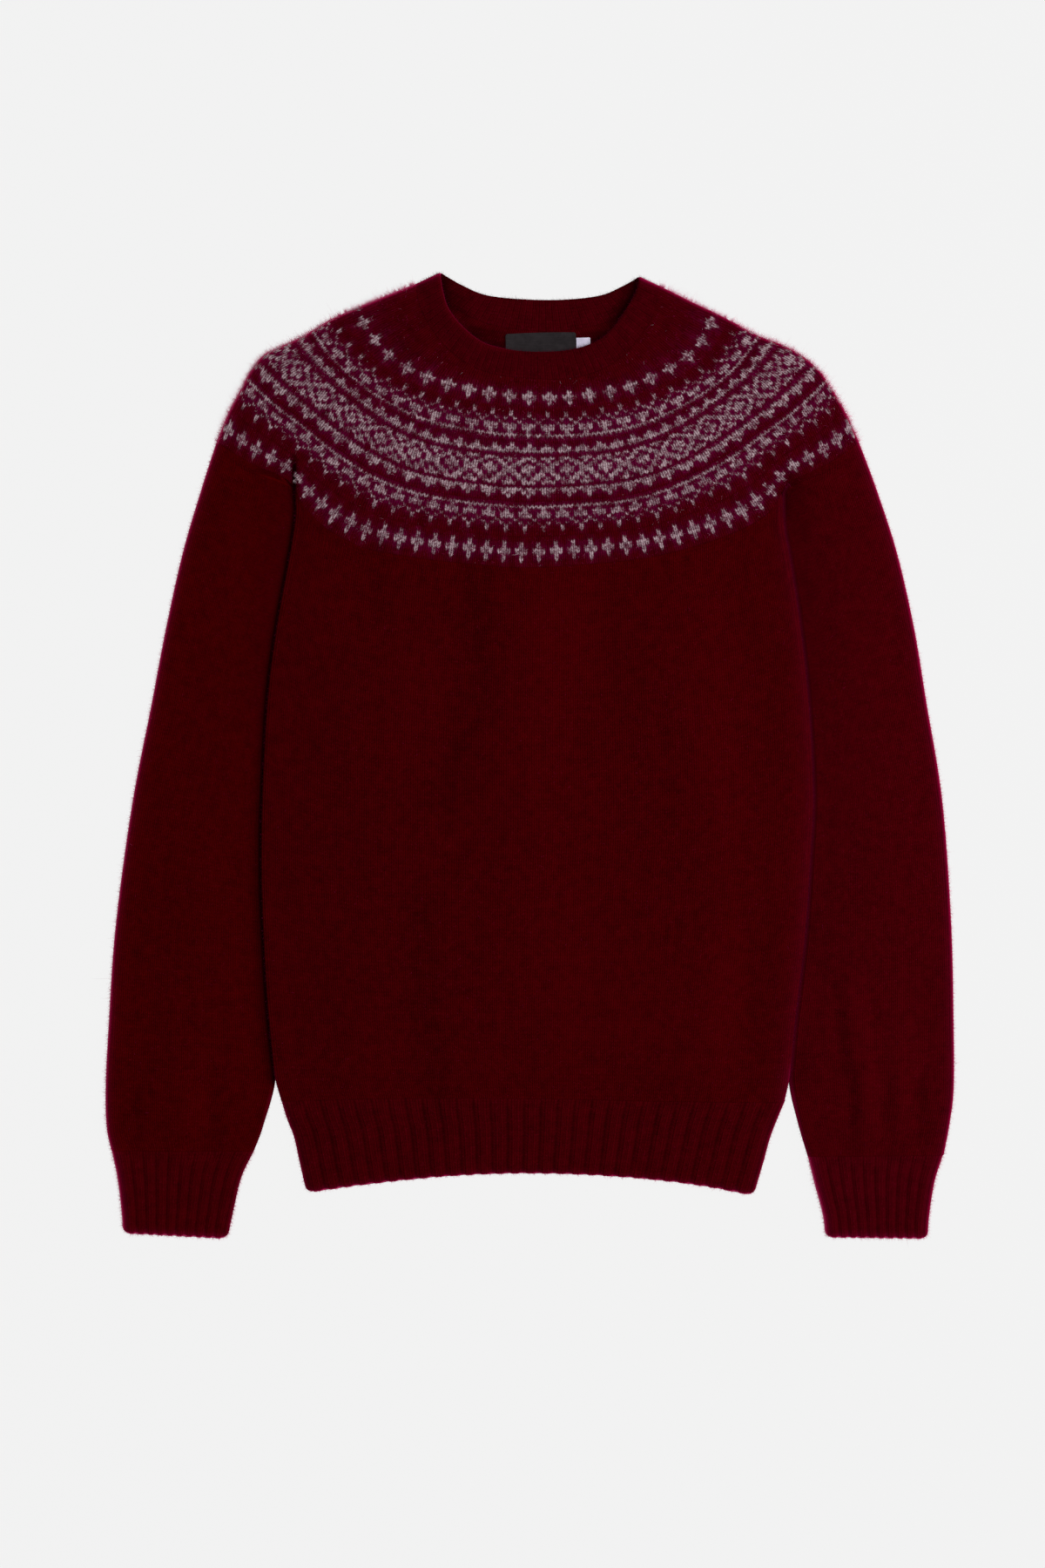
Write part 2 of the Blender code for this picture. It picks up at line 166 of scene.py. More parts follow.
BESIDE_BODY = 0.955  # share of the body's side that a sleeve lies along
SLEEVE_BESIDE = 0.885  # share of the sleeve's inner edge that does so
SIDE_GAP = 0.4  # between a sleeve and the body
TUCK = 0.7  # how far the body's edge leans over the sleeve's
BODY_FADE = 0.012, 0.04  # shares of a side over which the lean sets in and ends
SLEEVE_FADE = 0.012, 0.12

CORNER = 5.0  # radius of the corners of the hem and of the cuffs
SCALLOP = 0.011  # how far the ribs reach past their grooves at the foot, as a share of their length
SCALLOP_FROM = 0.8  # share of the way down from which they do
CORNER_END = 1.2  # how far past a corner its rounding is still worked out, in radii
CORNER_STEP = 0.02  # share of an edge that shows which way it leaves a corner
SHOULDER_LEAD = 0.7  # how far the yoke's rows run ahead on the shoulder

# The even line that the yoke's last rows would follow without the corners at the armholes
YOKE_LEVEL = [(-226, 226), (-200, 203), (-172, 182), (-140, 163), (-105, 149), (-55, 140), (-4, 135),
              (49, 138), (84, 142), (120, 152), (155, 166), (190, 186), (215, 204), (239, 226)]
CORNER_POWER = 6  # how late the rows take the corners
SQUARE_FROM = 0.12  # share of the front from its sides where a band's columns stand square
BAND_REACH = 0.12  # share of the yoke's courses over which they do

# Soft bands: from_x, from_y, to_x, to_y, half_width, strength, which falls to SOFT_END at their ends
SOFT_END = 0.35

# Folds of the upper wall, by how far they rise
FOLDS = [
    (8, 90, -20, -200, 24, 2.6),
    (-34, 90, -80, -185, 20, -1.4),
    (-92, 75, -118, -90, 24, 1.4),
    (98, 50, 108, -112, 20, -1.3),
    (135, 25, 131, -180, 24, 2.2),
    (188, 90, 186, -190, 13, 1.9),
    (-170, -228, 178, -230, 13, 1.6),
    (-214, 120, -246, -150, 24, 2.2),
    (236, 130, 268, -150, 26, 1.6),
    (-285, -235, -284, -290, 7, -1.4),
    (-252, -190, -254, -296, 15, 2.4),
    (-226, -230, -229, -292, 7, -1.4),
    (232, -222, 233, -284, 6, -1.4),
    (244, -190, 245, -290, 8, 1.4),
    (256, -225, 256, -294, 6, -1.4),
    (270, -195, 269, -292, 9, 1.6),
    (283, -220, 282, -290, 6, -1.4),
]

# Painted light and shade on and between the folds, in broad bands
SHADING_BANDS = [
    (-39, 142, -35, 42, 15, -1.2),
    (-39, 42, -67, -47, 14, -1.0),
    (-80, -91, -76, -204, 14, -1.2),
    (-74, -204, -61, -273, 11, -1.2),
    (-107, 155, -107, 98, 10, -0.7),
    (-140, -110, -146, -305, 26, -0.35),
    (-156, 105, -149, -84, 22, -0.4),
    (68, 117, 84, -91, 14, -0.5),
    (100, 48, 101, -78, 9, -0.5),
    (153, 142, 161, 73, 9, -0.6),
    (172, -135, 167, -248, 9, -0.6),
    (-1, -204, 2, -229, 10, -0.5),
    (90, -210, 100, -267, 14, -0.5),
    (27, 142, 21, 48, 22, 0.9),
    (11, 42, 2, -21, 22, 0.5),
    (131, 117, 140, -72, 18, 0.7),
    (144, -122, 139, -236, 12, 1.0),
    (33, -84, 30, -223, 18, 0.5),
    (-81, 117, -86, -3, 13, 0.1),
    (-108, -200, -106, -245, 10, 0.4),
    (-30, -215, -28, -240, 8, 0.4),
    # The next three are painted shadows beside the armpits
    (193, 205, 197, 158, 8, -1.4),
    (189, 206, 186, 176, 4, -2.5),
    (-169.5, 216, -169.5, 186, 2.4, -7.0),
    (224, -166, 238, -273, 6.5, -1.3),
    (198, -210, 201, -242, 6, -0.9),
    (287, -236, 280, -286, 6, -0.9),
    (260, -229, 259, -273, 6, -0.6),
    (238, -160, 250, -273, 8, 0.9),
    (257, 54, 266, -91, 16, 0.2),
    (273, -147, 273, -267, 9, 0.7),
    (213, -103, 211, -166, 9, -0.6),
    (-222, 218, -231, 155, 12, -0.6),
    (-269, -78, -263, -236, 30, -0.35),
    (-247, -236, -238, -273, 16, 0.5),
    (-285, -245, -284, -285, 5, -0.8),
    (-226, -235, -229, -285, 5, -0.8),
    (-256, -299, -256, -336, 28, -0.3),
    (-105, 312, -86, 287, 14, -0.7),
]

# Yoke rows in courses from the neckband, and the share of the way to the foot at which each
# lies in the middle of the front and at the shoulders: course, middle, shoulder
YOKE_ROWS = [
    (0, 0.0, 0.0),
    (3, 0.058, 0.143),
    (7, 0.130, 0.183),
    (8, 0.168, 0.231),
    (16, 0.319, 0.329),
    (17, 0.364, 0.347),
    (20, 0.435, 0.389),
    (21, 0.468, 0.424),
    (29, 0.640, 0.562),
    (30, 0.655, 0.594),
    (33, 0.705, 0.650),
    (35, 0.740, 0.686),
    (43, 0.860, 0.822),
    (45, 0.902, 0.890),
    (51, 0.978, 0.976),
    (52, 1.0, 1.0),
]
SHOULDER_FROM, SHOULDER_TO = 0.10, 0.38  # shares of the front between which its rows level out

# Bands of the yoke: start, stop (courses of the strip), stitches across the front, the first
# course of the chart, the stitch that a motif is centred on, the chart's centre column, chart.
# '#' is a pale stitch, '+', 'o' and '-' fainter ones, and the first line is the one nearest the neck.
BANDS = [
    (0, 7.5, 80, 3, 38, 2, ("..#.", ".###", ".-#-", "..#.")),
    (7.5, 16.5, 104, 8, 50, 2, ("..o.", "..o.", ".o.o", "+...", ".###", ".###", "..#.", "++++")),
    (16.5, 20.5, 128, 17, 62, 2, ("..#.", ".###", "+###")),
    (20.5, 29.5, 128, 21, 62, 4, ("##.###.#", "#.##.##.", ".##.#.##", "##.###.#",
                                  "+#.###.#", ".##.#.##", "#.##.##.", "##.###.#")),
    (29.5, 34, 128, 30, 62, 2, ("+###", ".###", "..#.")),
    (34, 44, 144, 35, 69, 2, ("++++", "..#.", ".###", ".###", "+...", ".o.o", "..+.", "..o.")),
    (44, 52, 160, 45, 76, 2, ("..#.", "..#.", ".###", ".###", "..#.", "..#.")),
]
CHART_TONE = {"#": 1.0, "+": 0.92, "o": 0.8, "-": 0.5, ".": 0.0}
STITCH_WEAR, FACE_WEAR = 0.55, 0.6  # how much fainter pale stitches and their parts may be

# Stitches across the front of each other piece, and its courses from head to foot
BODY_STITCHES, BODY_COURSES = 120, 148
SLEEVE_STITCHES, SLEEVE_COURSES = 37, 190
HEM_COURSES, CUFF_COURSES, BAND_COURSES = 25, 22, 8
RIB_LENGTH, BAND_LENGTH = 60.0, 20.0  # about how long the ribbed pieces are
RIB_WALES, BAND_RIB_WALES = 3, 2  # wales to a rib
PLAIN_ROWS, PLAIN_RIB_ROWS = 0.15, 0.3  # rows to a course of a plain inner face


# Curves and plans -----------------------------------------------------------------------------

def smooth_step(share):
    """0 up to 0 and 1 from 1 on, with an easy change between them."""
    share = np.clip(share, 0, 1)
    return share * share * (3 - 2 * share)


def by_length(dense):
    """Turn a dense polyline into a function of the share of its length, which runs on past its ends."""
    run = np.concatenate([[0.0], np.cumsum(np.linalg.norm(np.diff(dense, axis=0), axis=1))])
    run /= run[-1]
    ends = [(dense[k + 1] - dense[k]) / (run[k + 1] - run[k]) for k in (0, len(run) - 2)]

    def at(share):
        past = np.minimum(share, 0)[..., None] * ends[0] + np.maximum(share - 1, 0)[..., None] * ends[1]
        return np.stack([np.interp(share, run, line) for line in dense.T], -1) + past

    return at


def smooth_curve(points, samples=400):
    """A smooth line through the points, read by its share of length."""
    knots = np.array(points, float)
    ends = 2 * knots[[0, -1]] - knots[[1, -2]]
    padded = np.vstack([ends[:1], knots, ends[1:]])
    spot = np.linspace(0, len(knots) - 1, samples)
    index = np.minimum(spot.astype(int), len(knots) - 2)
    f = (spot - index)[:, None]
    before, start, stop, after = (padded[index + k] for k in range(4))
    return by_length(0.5 * (2 * start + (stop - before) * f
                            + (2 * before - 5 * start + 4 * stop - after) * f ** 2
                            + (3 * start - before - 3 * stop + after) * f ** 3))


def join(*curves):
    """One curve that follows several, end to end."""
    share = np.linspace(0, 1, 400)
    return by_length(np.vstack([curve(share) for curve in curves]))


def patch(head, foot, first_side, last_side):
    """Fill four edge curves in plan: u runs from side to side and v from head to foot."""
    corners = [edge(np.float64(u)) for edge in (head, foot) for u in (0, 1)]

    def at(u, v):
        a, b = np.asarray(u)[..., None], np.asarray(v)[..., None]
        between = (1 - b) * head(u) + b * foot(u) + (1 - a) * first_side(v) + a * last_side(v)
        shares = (1 - a) * (1 - b), a * (1 - b), (1 - a) * b, a * b
        return between - sum(share * corner for share, corner in zip(shares, corners))

    return at


def tube_patch(outer, inner, outer_first, head=None):
    """A sleeve or cuff in plan from its two edge curves, with its own head curve if it has one."""
    sides = (outer, inner) if outer_first else (inner, outer)
    ends = [by_length(np.array([side(share) for side in sides])) for share in (0.0, 1.0)]
    return patch(head or ends[0], ends[1], *sides)


def round_corner(spot, corner, edges):
    """Points in plan, moved so that a square corner between two edges becomes a round one."""
    frame = np.array([edge / np.linalg.norm(edge) for edge in edges])
    place = (spot - corner) @ np.linalg.inv(frame)
    share = np.maximum(1 - place / CORNER, 0)
    bent = share * np.sqrt(1 - np.minimum(share[..., ::-1], CORNER_END) ** 2 / 2)
    return corner + (place + (share - bent) * CORNER) @ frame


def yoke_plan(head, foot, sides):
    """The yoke in plan. Its rows are even lines that take the foot's corners only near the foot."""
    level = smooth_curve(YOKE_LEVEL)
    even = patch(head, level, *sides)
    return lambda u, v: even(u, v) + (foot(u) - level(u)) * np.asarray(v)[..., None] ** CORNER_POWER


def squared(at, middle, samples=400, small=1e-3, blur=15):
    """The same rows with columns that cross the row at middle squarely, and how far each moves."""
    u = np.linspace(0, 1, samples)
    row = np.full(samples, middle)
    along = np.gradient(at(u, row), u, axis=0)
    down = (at(u, row + small) - at(u, row - small)) / (2 * small)
    lean = -(along * down).sum(-1) / (along ** 2).sum(-1)
    window = np.hanning(2 * blur + 1)
    lean = np.convolve(np.pad(lean, blur, "edge"), window / window.sum(), "valid")
    lean = lean * smooth_step(np.minimum(u, 1 - u) / SQUARE_FROM)

    def shift(share, r):
        return np.interp(share, u, lean) * np.clip(r - middle, -BAND_REACH, BAND_REACH)

    return lambda share, r: at(share + shift(share, r), r), shift


def soft_bands(spot, bands):
    """Sum of soft bands at points in plan: the height of folds, or the tone of the light and shade painted on
    and between them.
    """
    lift = np.zeros(spot.shape[:-1])
    for *ends, half_width, rise in bands:
        start, stop = np.array(ends, float).reshape(2, 2)
        run = stop - start
        share = np.clip(((spot - start) @ run) / (run @ run), 0, 1)
        away = np.linalg.norm(spot - start - share[..., None] * run, axis=-1) / half_width
        fade = SOFT_END + (1 - SOFT_END) * np.sin(math.pi * share) ** 0.7
        lift += rise * fade * np.exp(-away ** 2)
    return lift


def edge_rate(at, u, v, into, small=1e-3):
    """Distance from an edge, square to it, that one unit into a plan covers. into is its way in u and v."""
    across, down = (small * part for part in into)
    away = (at(u + across, v + down) - at(u, v)) / small
    across, down = abs(down), abs(across)
    along = at(np.minimum(u + across, 1), np.minimum(v + down, 1))
    along = along - at(np.maximum(u - across, 0), np.maximum(v - down, 0))
    turned = away[..., 0] * along[..., 1] - away[..., 1] * along[..., 0]
    return np.abs(turned) / np.linalg.norm(along, axis=-1)


def plan_area(at, steps=60):
    """Flat area of a plan patch, in square millimetres."""
    spot = at(*np.meshgrid(np.linspace(0, 1, steps), np.linspace(0, 1, steps)))
    a, b = spot[1:, 1:] - spot[:-1, :-1], spot[1:, :-1] - spot[:-1, 1:]
    return float(np.abs(a[..., 0] * b[..., 1] - a[..., 1] * b[..., 0]).sum() / 2)


# Columns and rows of points -------------------------------------------------------------------

GLOW_POWER, GLOW_FLAT = 0.6, 0.10  # how the light painted near an edge, the fuzz's glow, falls from it, and its share on the flat
GLOW_CHANGE = 0.03  # share of a side over which its glow changes
WIDE_GLOW = 4.0  # stitches over which the wider glow falls
TURN_PLACE = 0.03  # length of a side turn where a wall's columns take the places from 0 to 1
RIM_TILTS = (62, 38, 14)  # slope of the rows round a rim, in degrees
RIM_COURSES = 0.15, 0.5  # how far the first and the last of them run on, in courses
END_COURSES = 0.5  # courses at a strip's ends over which the stitches become level


class Columns:
    """Point columns across one wall, with its side turns."""

    def __init__(self, share, wale, rise, turns, turn_rise=0.0, stitched=True):
        step = np.arange(turns) / turns
        beyond = 1 - step[::-1]
        self.share = np.concatenate([0 * step, share, 0 * step + 1])
        self.angle = np.concatenate([step, 0 * share + 1, 1 - beyond]) * math.pi / 2
        self.wale = np.concatenate([(step - 1) * TURN_STITCHES, wale, wale[-1] + beyond * TURN_STITCHES])
        self.place = np.concatenate([(step - 1) * TURN_PLACE, share, 1 + beyond * TURN_PLACE])
        crest = turn_rise * knit_crest(self.wale)
        self.rise = np.concatenate([crest[:turns], rise, crest[-turns:]])
        self.foot = (0.5 - np.abs(2 * (self.wale % 1) - 1)) * stitched
        self.turn = 1 - np.sin(self.angle)
        sides, away = (self.share < 0.5, self.share > 0.5), (np.abs(self.wale), np.abs(wale[-1] - self.wale))
        glow = self.turn ** GLOW_POWER
        self.near = [np.maximum(GLOW_FLAT * np.exp(-far), glow * side) for far, side in zip(away, sides)]
        self.wide = [np.exp(-far / WIDE_GLOW) for far in away]


def knit_crest(wale):
    """Height of the stitch legs across the wales, from -0.5 in a groove to 0.5 on a leg."""
    return np.sin(2 * math.pi * wale) ** 2 - 0.5


def knit_columns(stitches, per_stitch=LEG_COLUMNS, relief=RELIEF):
    """Columns of V stitches. Without relief they only mark the stitches on a plain face."""
    share = np.linspace(0, 1, stitches * per_stitch + 1)
    wale = share * stitches
    return Columns(share, wale, relief * knit_crest(wale), TURN_STITCHES * LEG_COLUMNS, relief, relief > 0)


def plain_columns(steps, turns=4):
    share = np.linspace(0, 1, steps + 1)
    return Columns(share, share * steps, 0 * share, turns, stitched=False)


# Profile of a rib: place in the rib, rise, wale
BROAD_RIB = [(0.0, 0.0, 0.0), (0.09, 0.02, 0.1), (0.17, 0.2, 0.3), (0.25, 0.66, 0.5), (0.33, 0.95, 0.75),
             (0.41, 1.0, 1.0), (0.5, 0.84, 1.5), (0.59, 1.0, 2.0), (0.67, 0.95, 2.25), (0.75, 0.66, 2.5),
             (0.83, 0.2, 2.7), (0.91, 0.02, 2.9)]
SLIM_RIB = [(0.0, 0.0, 0.0), (0.16, 0.25, 0.2), (0.32, 0.85, 0.5), (0.5, 1.0, 1.0), (0.68, 0.85, 1.5),
            (0.84, 0.25, 1.8)]


def rib_columns(ribs, profile, wales, rise, turns=6):
    """Columns of so many ribs, each so many wales wide."""
    share, wale, height = np.array([((k + place) / ribs, k * wales + wale, part * rise) for k in range(ribs)
                                    for place, part, wale in profile] + [(1.0, ribs * wales, 0.0)]).T
    return Columns(share, wale, height, turns)


class Rows:
    """Point rows from head to foot. A rim closes the wall's two faces towards a rounded edge.

    A side's glow is a pair, of its first and its last edge: light painted into the colour there, and
    painted shade where it is below 0; glow_below takes its place from the share change of the way
    down. wide is a fainter glow that reaches further in, and where it is painted shade it ends there.
    Ribs rise over the first rise_over courses, and the cloth comes to be lighter by rib_tone there,
    which makes up for the shade of the ribs and their grooves.
    """

    def __init__(self, courses, per_course=1, length=100.0, head_rim=0.0, foot_rim=0.0, rim_glow=1.0,
                 glow=(1.0, 1.0), glow_below=None, change=1.0, wide=(0.0, 0.0), rise_over=0.0, rib_tone=0.0):
        self.rim_glow, self.wide, self.change = rim_glow, wide, change
        self.glow, self.glow_below = glow, glow_below or glow
        count = round(courses * per_course) + 1
        self.v = np.linspace(head_rim / length, 1 - foot_rim / length, count)
        self.course = np.linspace(0, courses, count)
        self.fade = np.minimum(1, np.minimum(self.course, courses - self.course) / END_COURSES)
        self.rise = np.where(self.course > 1, 1, self.fade)
        if rise_over:
            self.rise = smooth_step(self.course / rise_over)
        self.nap = rib_tone * self.rise
        self.pinch = self.turn = 0 * self.v
        self.from_rim = 0 * self.v + math.inf
        if head_rim:
            self.from_rim = self.course
            self.add_rim(head_rim, length, 0, False)
        if foot_rim:
            self.from_rim = courses - self.course
            self.add_rim(foot_rim, length, courses, True)

    def add_rim(self, rim, length, courses, at_foot):
        """Rows round a rim, on which the stitches run on and the wall closes."""
        tilt = np.radians(RIM_TILTS)
        gone, beyond = rim * (1 - np.cos(tilt)) / length, np.linspace(*RIM_COURSES, len(tilt))
        extra = {"v": 1 - gone if at_foot else gone, "course": courses + beyond if at_foot else -beyond,
                 "pinch": rim * (1 - np.sin(tilt)), "turn": 1 - np.sin(tilt), "from_rim": 0 * tilt,
                 "fade": 0 * tilt, "rise": 0 * tilt + at_foot, "nap": 0 * tilt + self.nap[-at_foot]}
        for name, values in extra.items():
            kept = getattr(self, name)
            setattr(self, name, np.concatenate([kept, values] if at_foot else [values[::-1], kept]))


class Wall:
    """One laid wall of a piece: its plan and the height of its middle line.

    A side with a tuck leans out over its neighbour, and one with a negative tuck lies under it.
    """

    def __init__(self, at, upper, wall=WALL, split=0.0, foot_wall=None, tuck=(0.0, 0.0), fade=BODY_FADE,
                 round_foot=False):
        self.at, self.upper, self.split, self.tuck, self.fade = at, upper, split, tuck, fade
        self.round_foot = round_foot
        self.walls = wall, foot_wall or wall

    def points(self, rows, columns, inner=False, crowd=None):
        """Points of the outer or the inner face, rows by columns."""
        at, v, pinch = self.at, rows.v[:, None], rows.pinch[:, None]
        upward = 1 if self.upper else -1
        cos, sin = np.cos(columns.angle), np.sin(columns.angle)
        head, foot = self.walls
        wall = head + (foot - head) * smooth_step((v - TAPER_FROM) / (1 - TAPER_FROM))
        radius = (2 * wall + AIR - self.split) / 2
        middle = radius + (self.split if self.upper else 0.0)
        share, flatter = crowd(v, columns.share) if crowd else (columns.share, 1.0)
        skewed, inner_rise = v + 0 * columns.foot, 0.0
        if inner:
            reach = radius - wall + pinch
            inner_rise = columns.rise * (1 - pinch / BAND_WALL)
        else:
            reach = radius - pinch + columns.rise * rows.rise[:, None] * flatter
            per_course = rows.fade * np.gradient(rows.v) / np.gradient(rows.course)
            skewed = skewed + SLANT * columns.foot * per_course[:, None]
            if self.round_foot:
                near_foot = smooth_step((v - SCALLOP_FROM) / (1 - SCALLOP_FROM))
                skewed = skewed + SCALLOP * (columns.rise / RIB_RISE - 0.5) * near_foot
        lean = self.tuck[0] * (columns.share < 0.5) + self.tuck[1] * (columns.share > 0.5)
        fade = smooth_step(np.clip(v / self.fade[0], 0, 1) * np.clip((1 - v) / self.fade[1], 0, 1))
        inset = radius - reach * (cos + lean * fade * upward * sin * cos)
        first, last = inset / edge_rate(at, 0 * v, v, (1, 0)), inset / edge_rate(at, 0 * v + 1, v, (-1, 0))
        u = (1 - share) * first + share * (1 - last)
        clear = SEAM / edge_rate(at, np.clip(u, 0, 1), 0 * u, (0, 1))
        spot = at(u, clear + (1 - clear) * skewed)
        if self.round_foot:
            for side, beside in ((0, CORNER_STEP), (1, 1 - CORNER_STEP)):
                corner, along, up = at(np.array([side, beside, side]), np.array([1, 1, 1 - 4 * CORNER_STEP]))
                spot = round_corner(spot, corner, (along - corner, up - corner))
        height = middle + upward * (reach * sin - inner_rise)
        if self.upper:
            height = height + soft_bands(spot, FOLDS) * sin ** 2
        return np.dstack([spot, np.broadcast_to(height, u.shape)])


def both_walls(plans, **settings):
    return [Wall(plan, upper, **settings) for plan, upper in zip(plans, (True, False))]


# Meshes ---------------------------------------------------------------------------------------

PERIOD = 2 + 4 * TURN_PLACE  # length of the way round a tube, in the columns' places
HALF_PERIOD = 4.0  # and of the way round a half, whose sides take 1 each
MARKS = ("pale", "near", "turn", "glow", "nap")  # kept at each point; glow is light painted into the colour near the edges, and the painted shading is the light and shade of the broad bands; both are painted shade where below 0


def fill_mesh(name, points, quads, tris=()):
    """A mesh from its points, in metres, and its faces of four and of three corners."""
    sides = np.repeat([4, 3], [len(quads), len(tris)])
    corners = np.concatenate([np.ravel(quads), np.ravel(tris)]).astype(int)
    mesh = bpy.data.meshes.new(name)
    mesh.vertices.add(len(points))
    mesh.loops.add(len(corners))
    mesh.polygons.add(len(sides))
    mesh.vertices.foreach_set("co", points.ravel())
    mesh.loops.foreach_set("vertex_index", corners)
    mesh.polygons.foreach_set("loop_start", np.cumsum(sides) - sides)
    mesh.update(calc_edges=True)
    return mesh


def add_object(name, mesh, material):
    """Put a piece in the scene. All of them lie still."""
    piece = bpy.data.objects.new(name, mesh)
    bpy.context.scene.collection.objects.link(piece)
    mesh.materials.append(material)
    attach(piece, "root")
    return piece


class Weave:
    """Collects the points and faces of one piece."""

    def __init__(self):
        self.points, self.total = [], 0
        self.marks = {name: [] for name in MARKS}
        self.quads, self.quad_uv = [], []
        self.tris, self.tri_uv = [], []

    def grid(self, points, wale, course, closed=False, **marks):
        """Add a grid of points and its faces. A closed one has one more wale than columns."""
        rows, cols = points.shape[:2]
        index = self.total + np.arange(rows * cols).reshape(rows, cols)
        self.points.append(points.reshape(-1, 3))
        self.total += rows * cols
        ring = np.concatenate([index, index[:, :1]], 1) if closed else index
        uv = np.dstack(np.meshgrid(wale, course))
        low, high = slice(None, -1), slice(1, None)
        corners = (low, low), (high, low), (high, high), (low, high)
        self.quads.append(np.stack([ring[c] for c in corners], -1).reshape(-1, 4))
        self.quad_uv.append(np.stack([uv[c] for c in corners], 2).reshape(-1, 2))
        marks["nap"] = soft_bands(points[..., :2], SHADING_BANDS) + marks.get("nap", 0.0)
        for name in MARKS:
            self.marks[name].append(np.broadcast_to(marks.get(name, 0.0), (rows, cols)).ravel())
        return index, uv

    def bridge(self, first, second, period=PERIOD):
        """Join two closed lines with triangles. A line is its points, their places and their uv."""
        (ring_a, place_a, uv_a), (ring_b, place_b, uv_b) = first, second
        place_a, place_b = np.append(place_a, place_a[0] + period), np.append(place_b, place_b[0] + period)
        ring_a, ring_b = np.append(ring_a, ring_a[0]), np.append(ring_b, ring_b[0])
        i = j = 0
        while i < len(ring_a) - 1 or j < len(ring_b) - 1:
            on_a = j == len(ring_b) - 1 or (i < len(ring_a) - 1 and place_a[i + 1] <= place_b[j + 1])
            further = (ring_a[i + 1], uv_a[i + 1]) if on_a else (ring_b[j + 1], uv_b[j + 1])
            self.tris.append((ring_a[i], ring_b[j], further[0]))
            self.tri_uv += [uv_a[i], uv_b[j], further[1]]
            i, j = (i + 1, j) if on_a else (i, j + 1)

    def mesh(self, name):
        mesh = fill_mesh(name, np.concatenate(self.points) * MM, np.concatenate(self.quads), self.tris)
        uv = np.concatenate(self.quad_uv + [np.array(self.tri_uv)])
        mesh.uv_layers.new(name="knit").data.foreach_set("uv", uv.ravel())
        for mark, values in self.marks.items():
            mesh.attributes.new(mark, "FLOAT", "POINT").data.foreach_set("value", np.concatenate(values))
        body = bmesh.new()
        body.from_mesh(mesh)
        bmesh.ops.recalc_face_normals(body, faces=body.faces)
        body.to_mesh(mesh)
        body.free()
        mesh.shade_smooth()
        mesh.set_sharp_from_angle(angle=math.radians(65))
        return mesh


def round_tube(top, under, axis=0):
    """Values round a tube, from its upper columns and then from its lower ones the other way."""
    lower = np.arange(under.shape[axis])[-2:0:-1]
    return np.concatenate([top, under.take(lower, axis)], axis)


def ring_place(top_place, under_place):
    """Places round a tube."""
    return round_tube(top_place, 2 + 2 * TURN_PLACE - under_place)


def ring_wale(top, under):
    """Wales round a tube, with one more at the end of the round."""
    lower = top.wale[-1] + under.wale[-1] - under.wale
    return np.append(round_tube(top.wale, lower), lower[0])


def edge_marks(rows, *faces):
    """How far each point has turned from flat towards an edge, and how much light that edge has painted into
    its colour from above, with painted shade where it is below 0.
    """
    turn, *sides = faces[0].turn, *faces[0].near, *faces[0].wide
    for under in faces[1:]:
        turn = round_tube(turn, under.turn)
        sides = [round_tube(side, 0 * under.turn) for side in sides]
    below = smooth_step((rows.v[:, None] - rows.change) / GLOW_CHANGE + 1)
    set_in = smooth_step(rows.v[:, None] / GLOW_CHANGE)
    glow = 0.0
    for above, under, share in zip(rows.glow, rows.glow_below, sides[:2]):
        level = above + below * (under - above)
        glow = glow + level * share * np.where(level < 0, set_in, 1.0)
    for wide, share in zip(rows.wide, sides[2:]):
        glow = glow + wide * share * (set_in * (1 - below) if wide < 0 else 1.0)
    at_rim = rows.turn[:, None]
    rim = rows.rim_glow * np.maximum(at_rim ** GLOW_POWER, GLOW_FLAT * np.exp(-rows.from_rim[:, None]))
    return {"turn": np.maximum(turn, at_rim), "glow": np.where(rim > np.abs(glow), rim, glow),
            "nap": rows.nap[:, None]}


def add_face(weave, walls, rows, top, under, inner=False, crowd=None, shade=None, **marks):
    """One face of a tube pressed flat, from its upper and its lower wall. Returns its two end lines."""
    grids = [wall.points(rows, columns, inner, crowd) for wall, columns in zip(walls, (top, under))]
    points = round_tube(*grids, axis=1)
    if shade:
        marks["nap"] = shade(points)
    index, uv = weave.grid(points, ring_wale(top, under), rows.course, True, **marks)
    return [(index[end], ring_place(top.place, under.place), uv[end]) for end in (0, -1)]


def tube(walls, rows, columns, inner_rows, inner_columns, crowd=None, shades=(None, None)):
    """A tube pressed flat, with an outer and an inner face joined at its ends."""
    weave = Weave()
    outer = add_face(weave, walls, rows, *columns, crowd=crowd, shade=shades[0], **edge_marks(rows, *columns))
    inner = add_face(weave, walls, inner_rows, *inner_columns, inner=True, shade=shades[1])
    for ends in zip(outer, inner):
        weave.bridge(*ends)
    return weave


def half(wall, rows, columns, inner_rows, inner_columns):
    """A front or a back alone: an outer and an inner face joined all round."""
    weave, lines = Weave(), []
    for face, across, inner in ((rows, columns, False), (inner_rows, inner_columns, True)):
        marks = {} if inner else edge_marks(face, across)
        index, uv = weave.grid(wall.points(face, across, inner), across.wale, face.course, **marks)
        u = (across.place + TURN_PLACE) / (1 + 2 * TURN_PLACE)
        v = (face.v - face.v[0]) / (face.v[-1] - face.v[0])
        parts = [(index[0, :-1], u[:-1], uv[0, :-1]), (index[:-1, -1], 1 + v[:-1], uv[:-1, -1]),
                 (index[-1, :0:-1], 3 - u[:0:-1], uv[-1, :0:-1]),
                 (index[:0:-1, 0], 4 - v[:0:-1], uv[:0:-1, 0])]
        ring, place, corner = (np.concatenate(part) for part in zip(*parts))
        lines.append((ring, place, np.concatenate([corner, corner[:1]])))
    weave.bridge(*lines, period=HALF_PERIOD)
    return weave


PIECES = {}  # the knitted pieces, by part


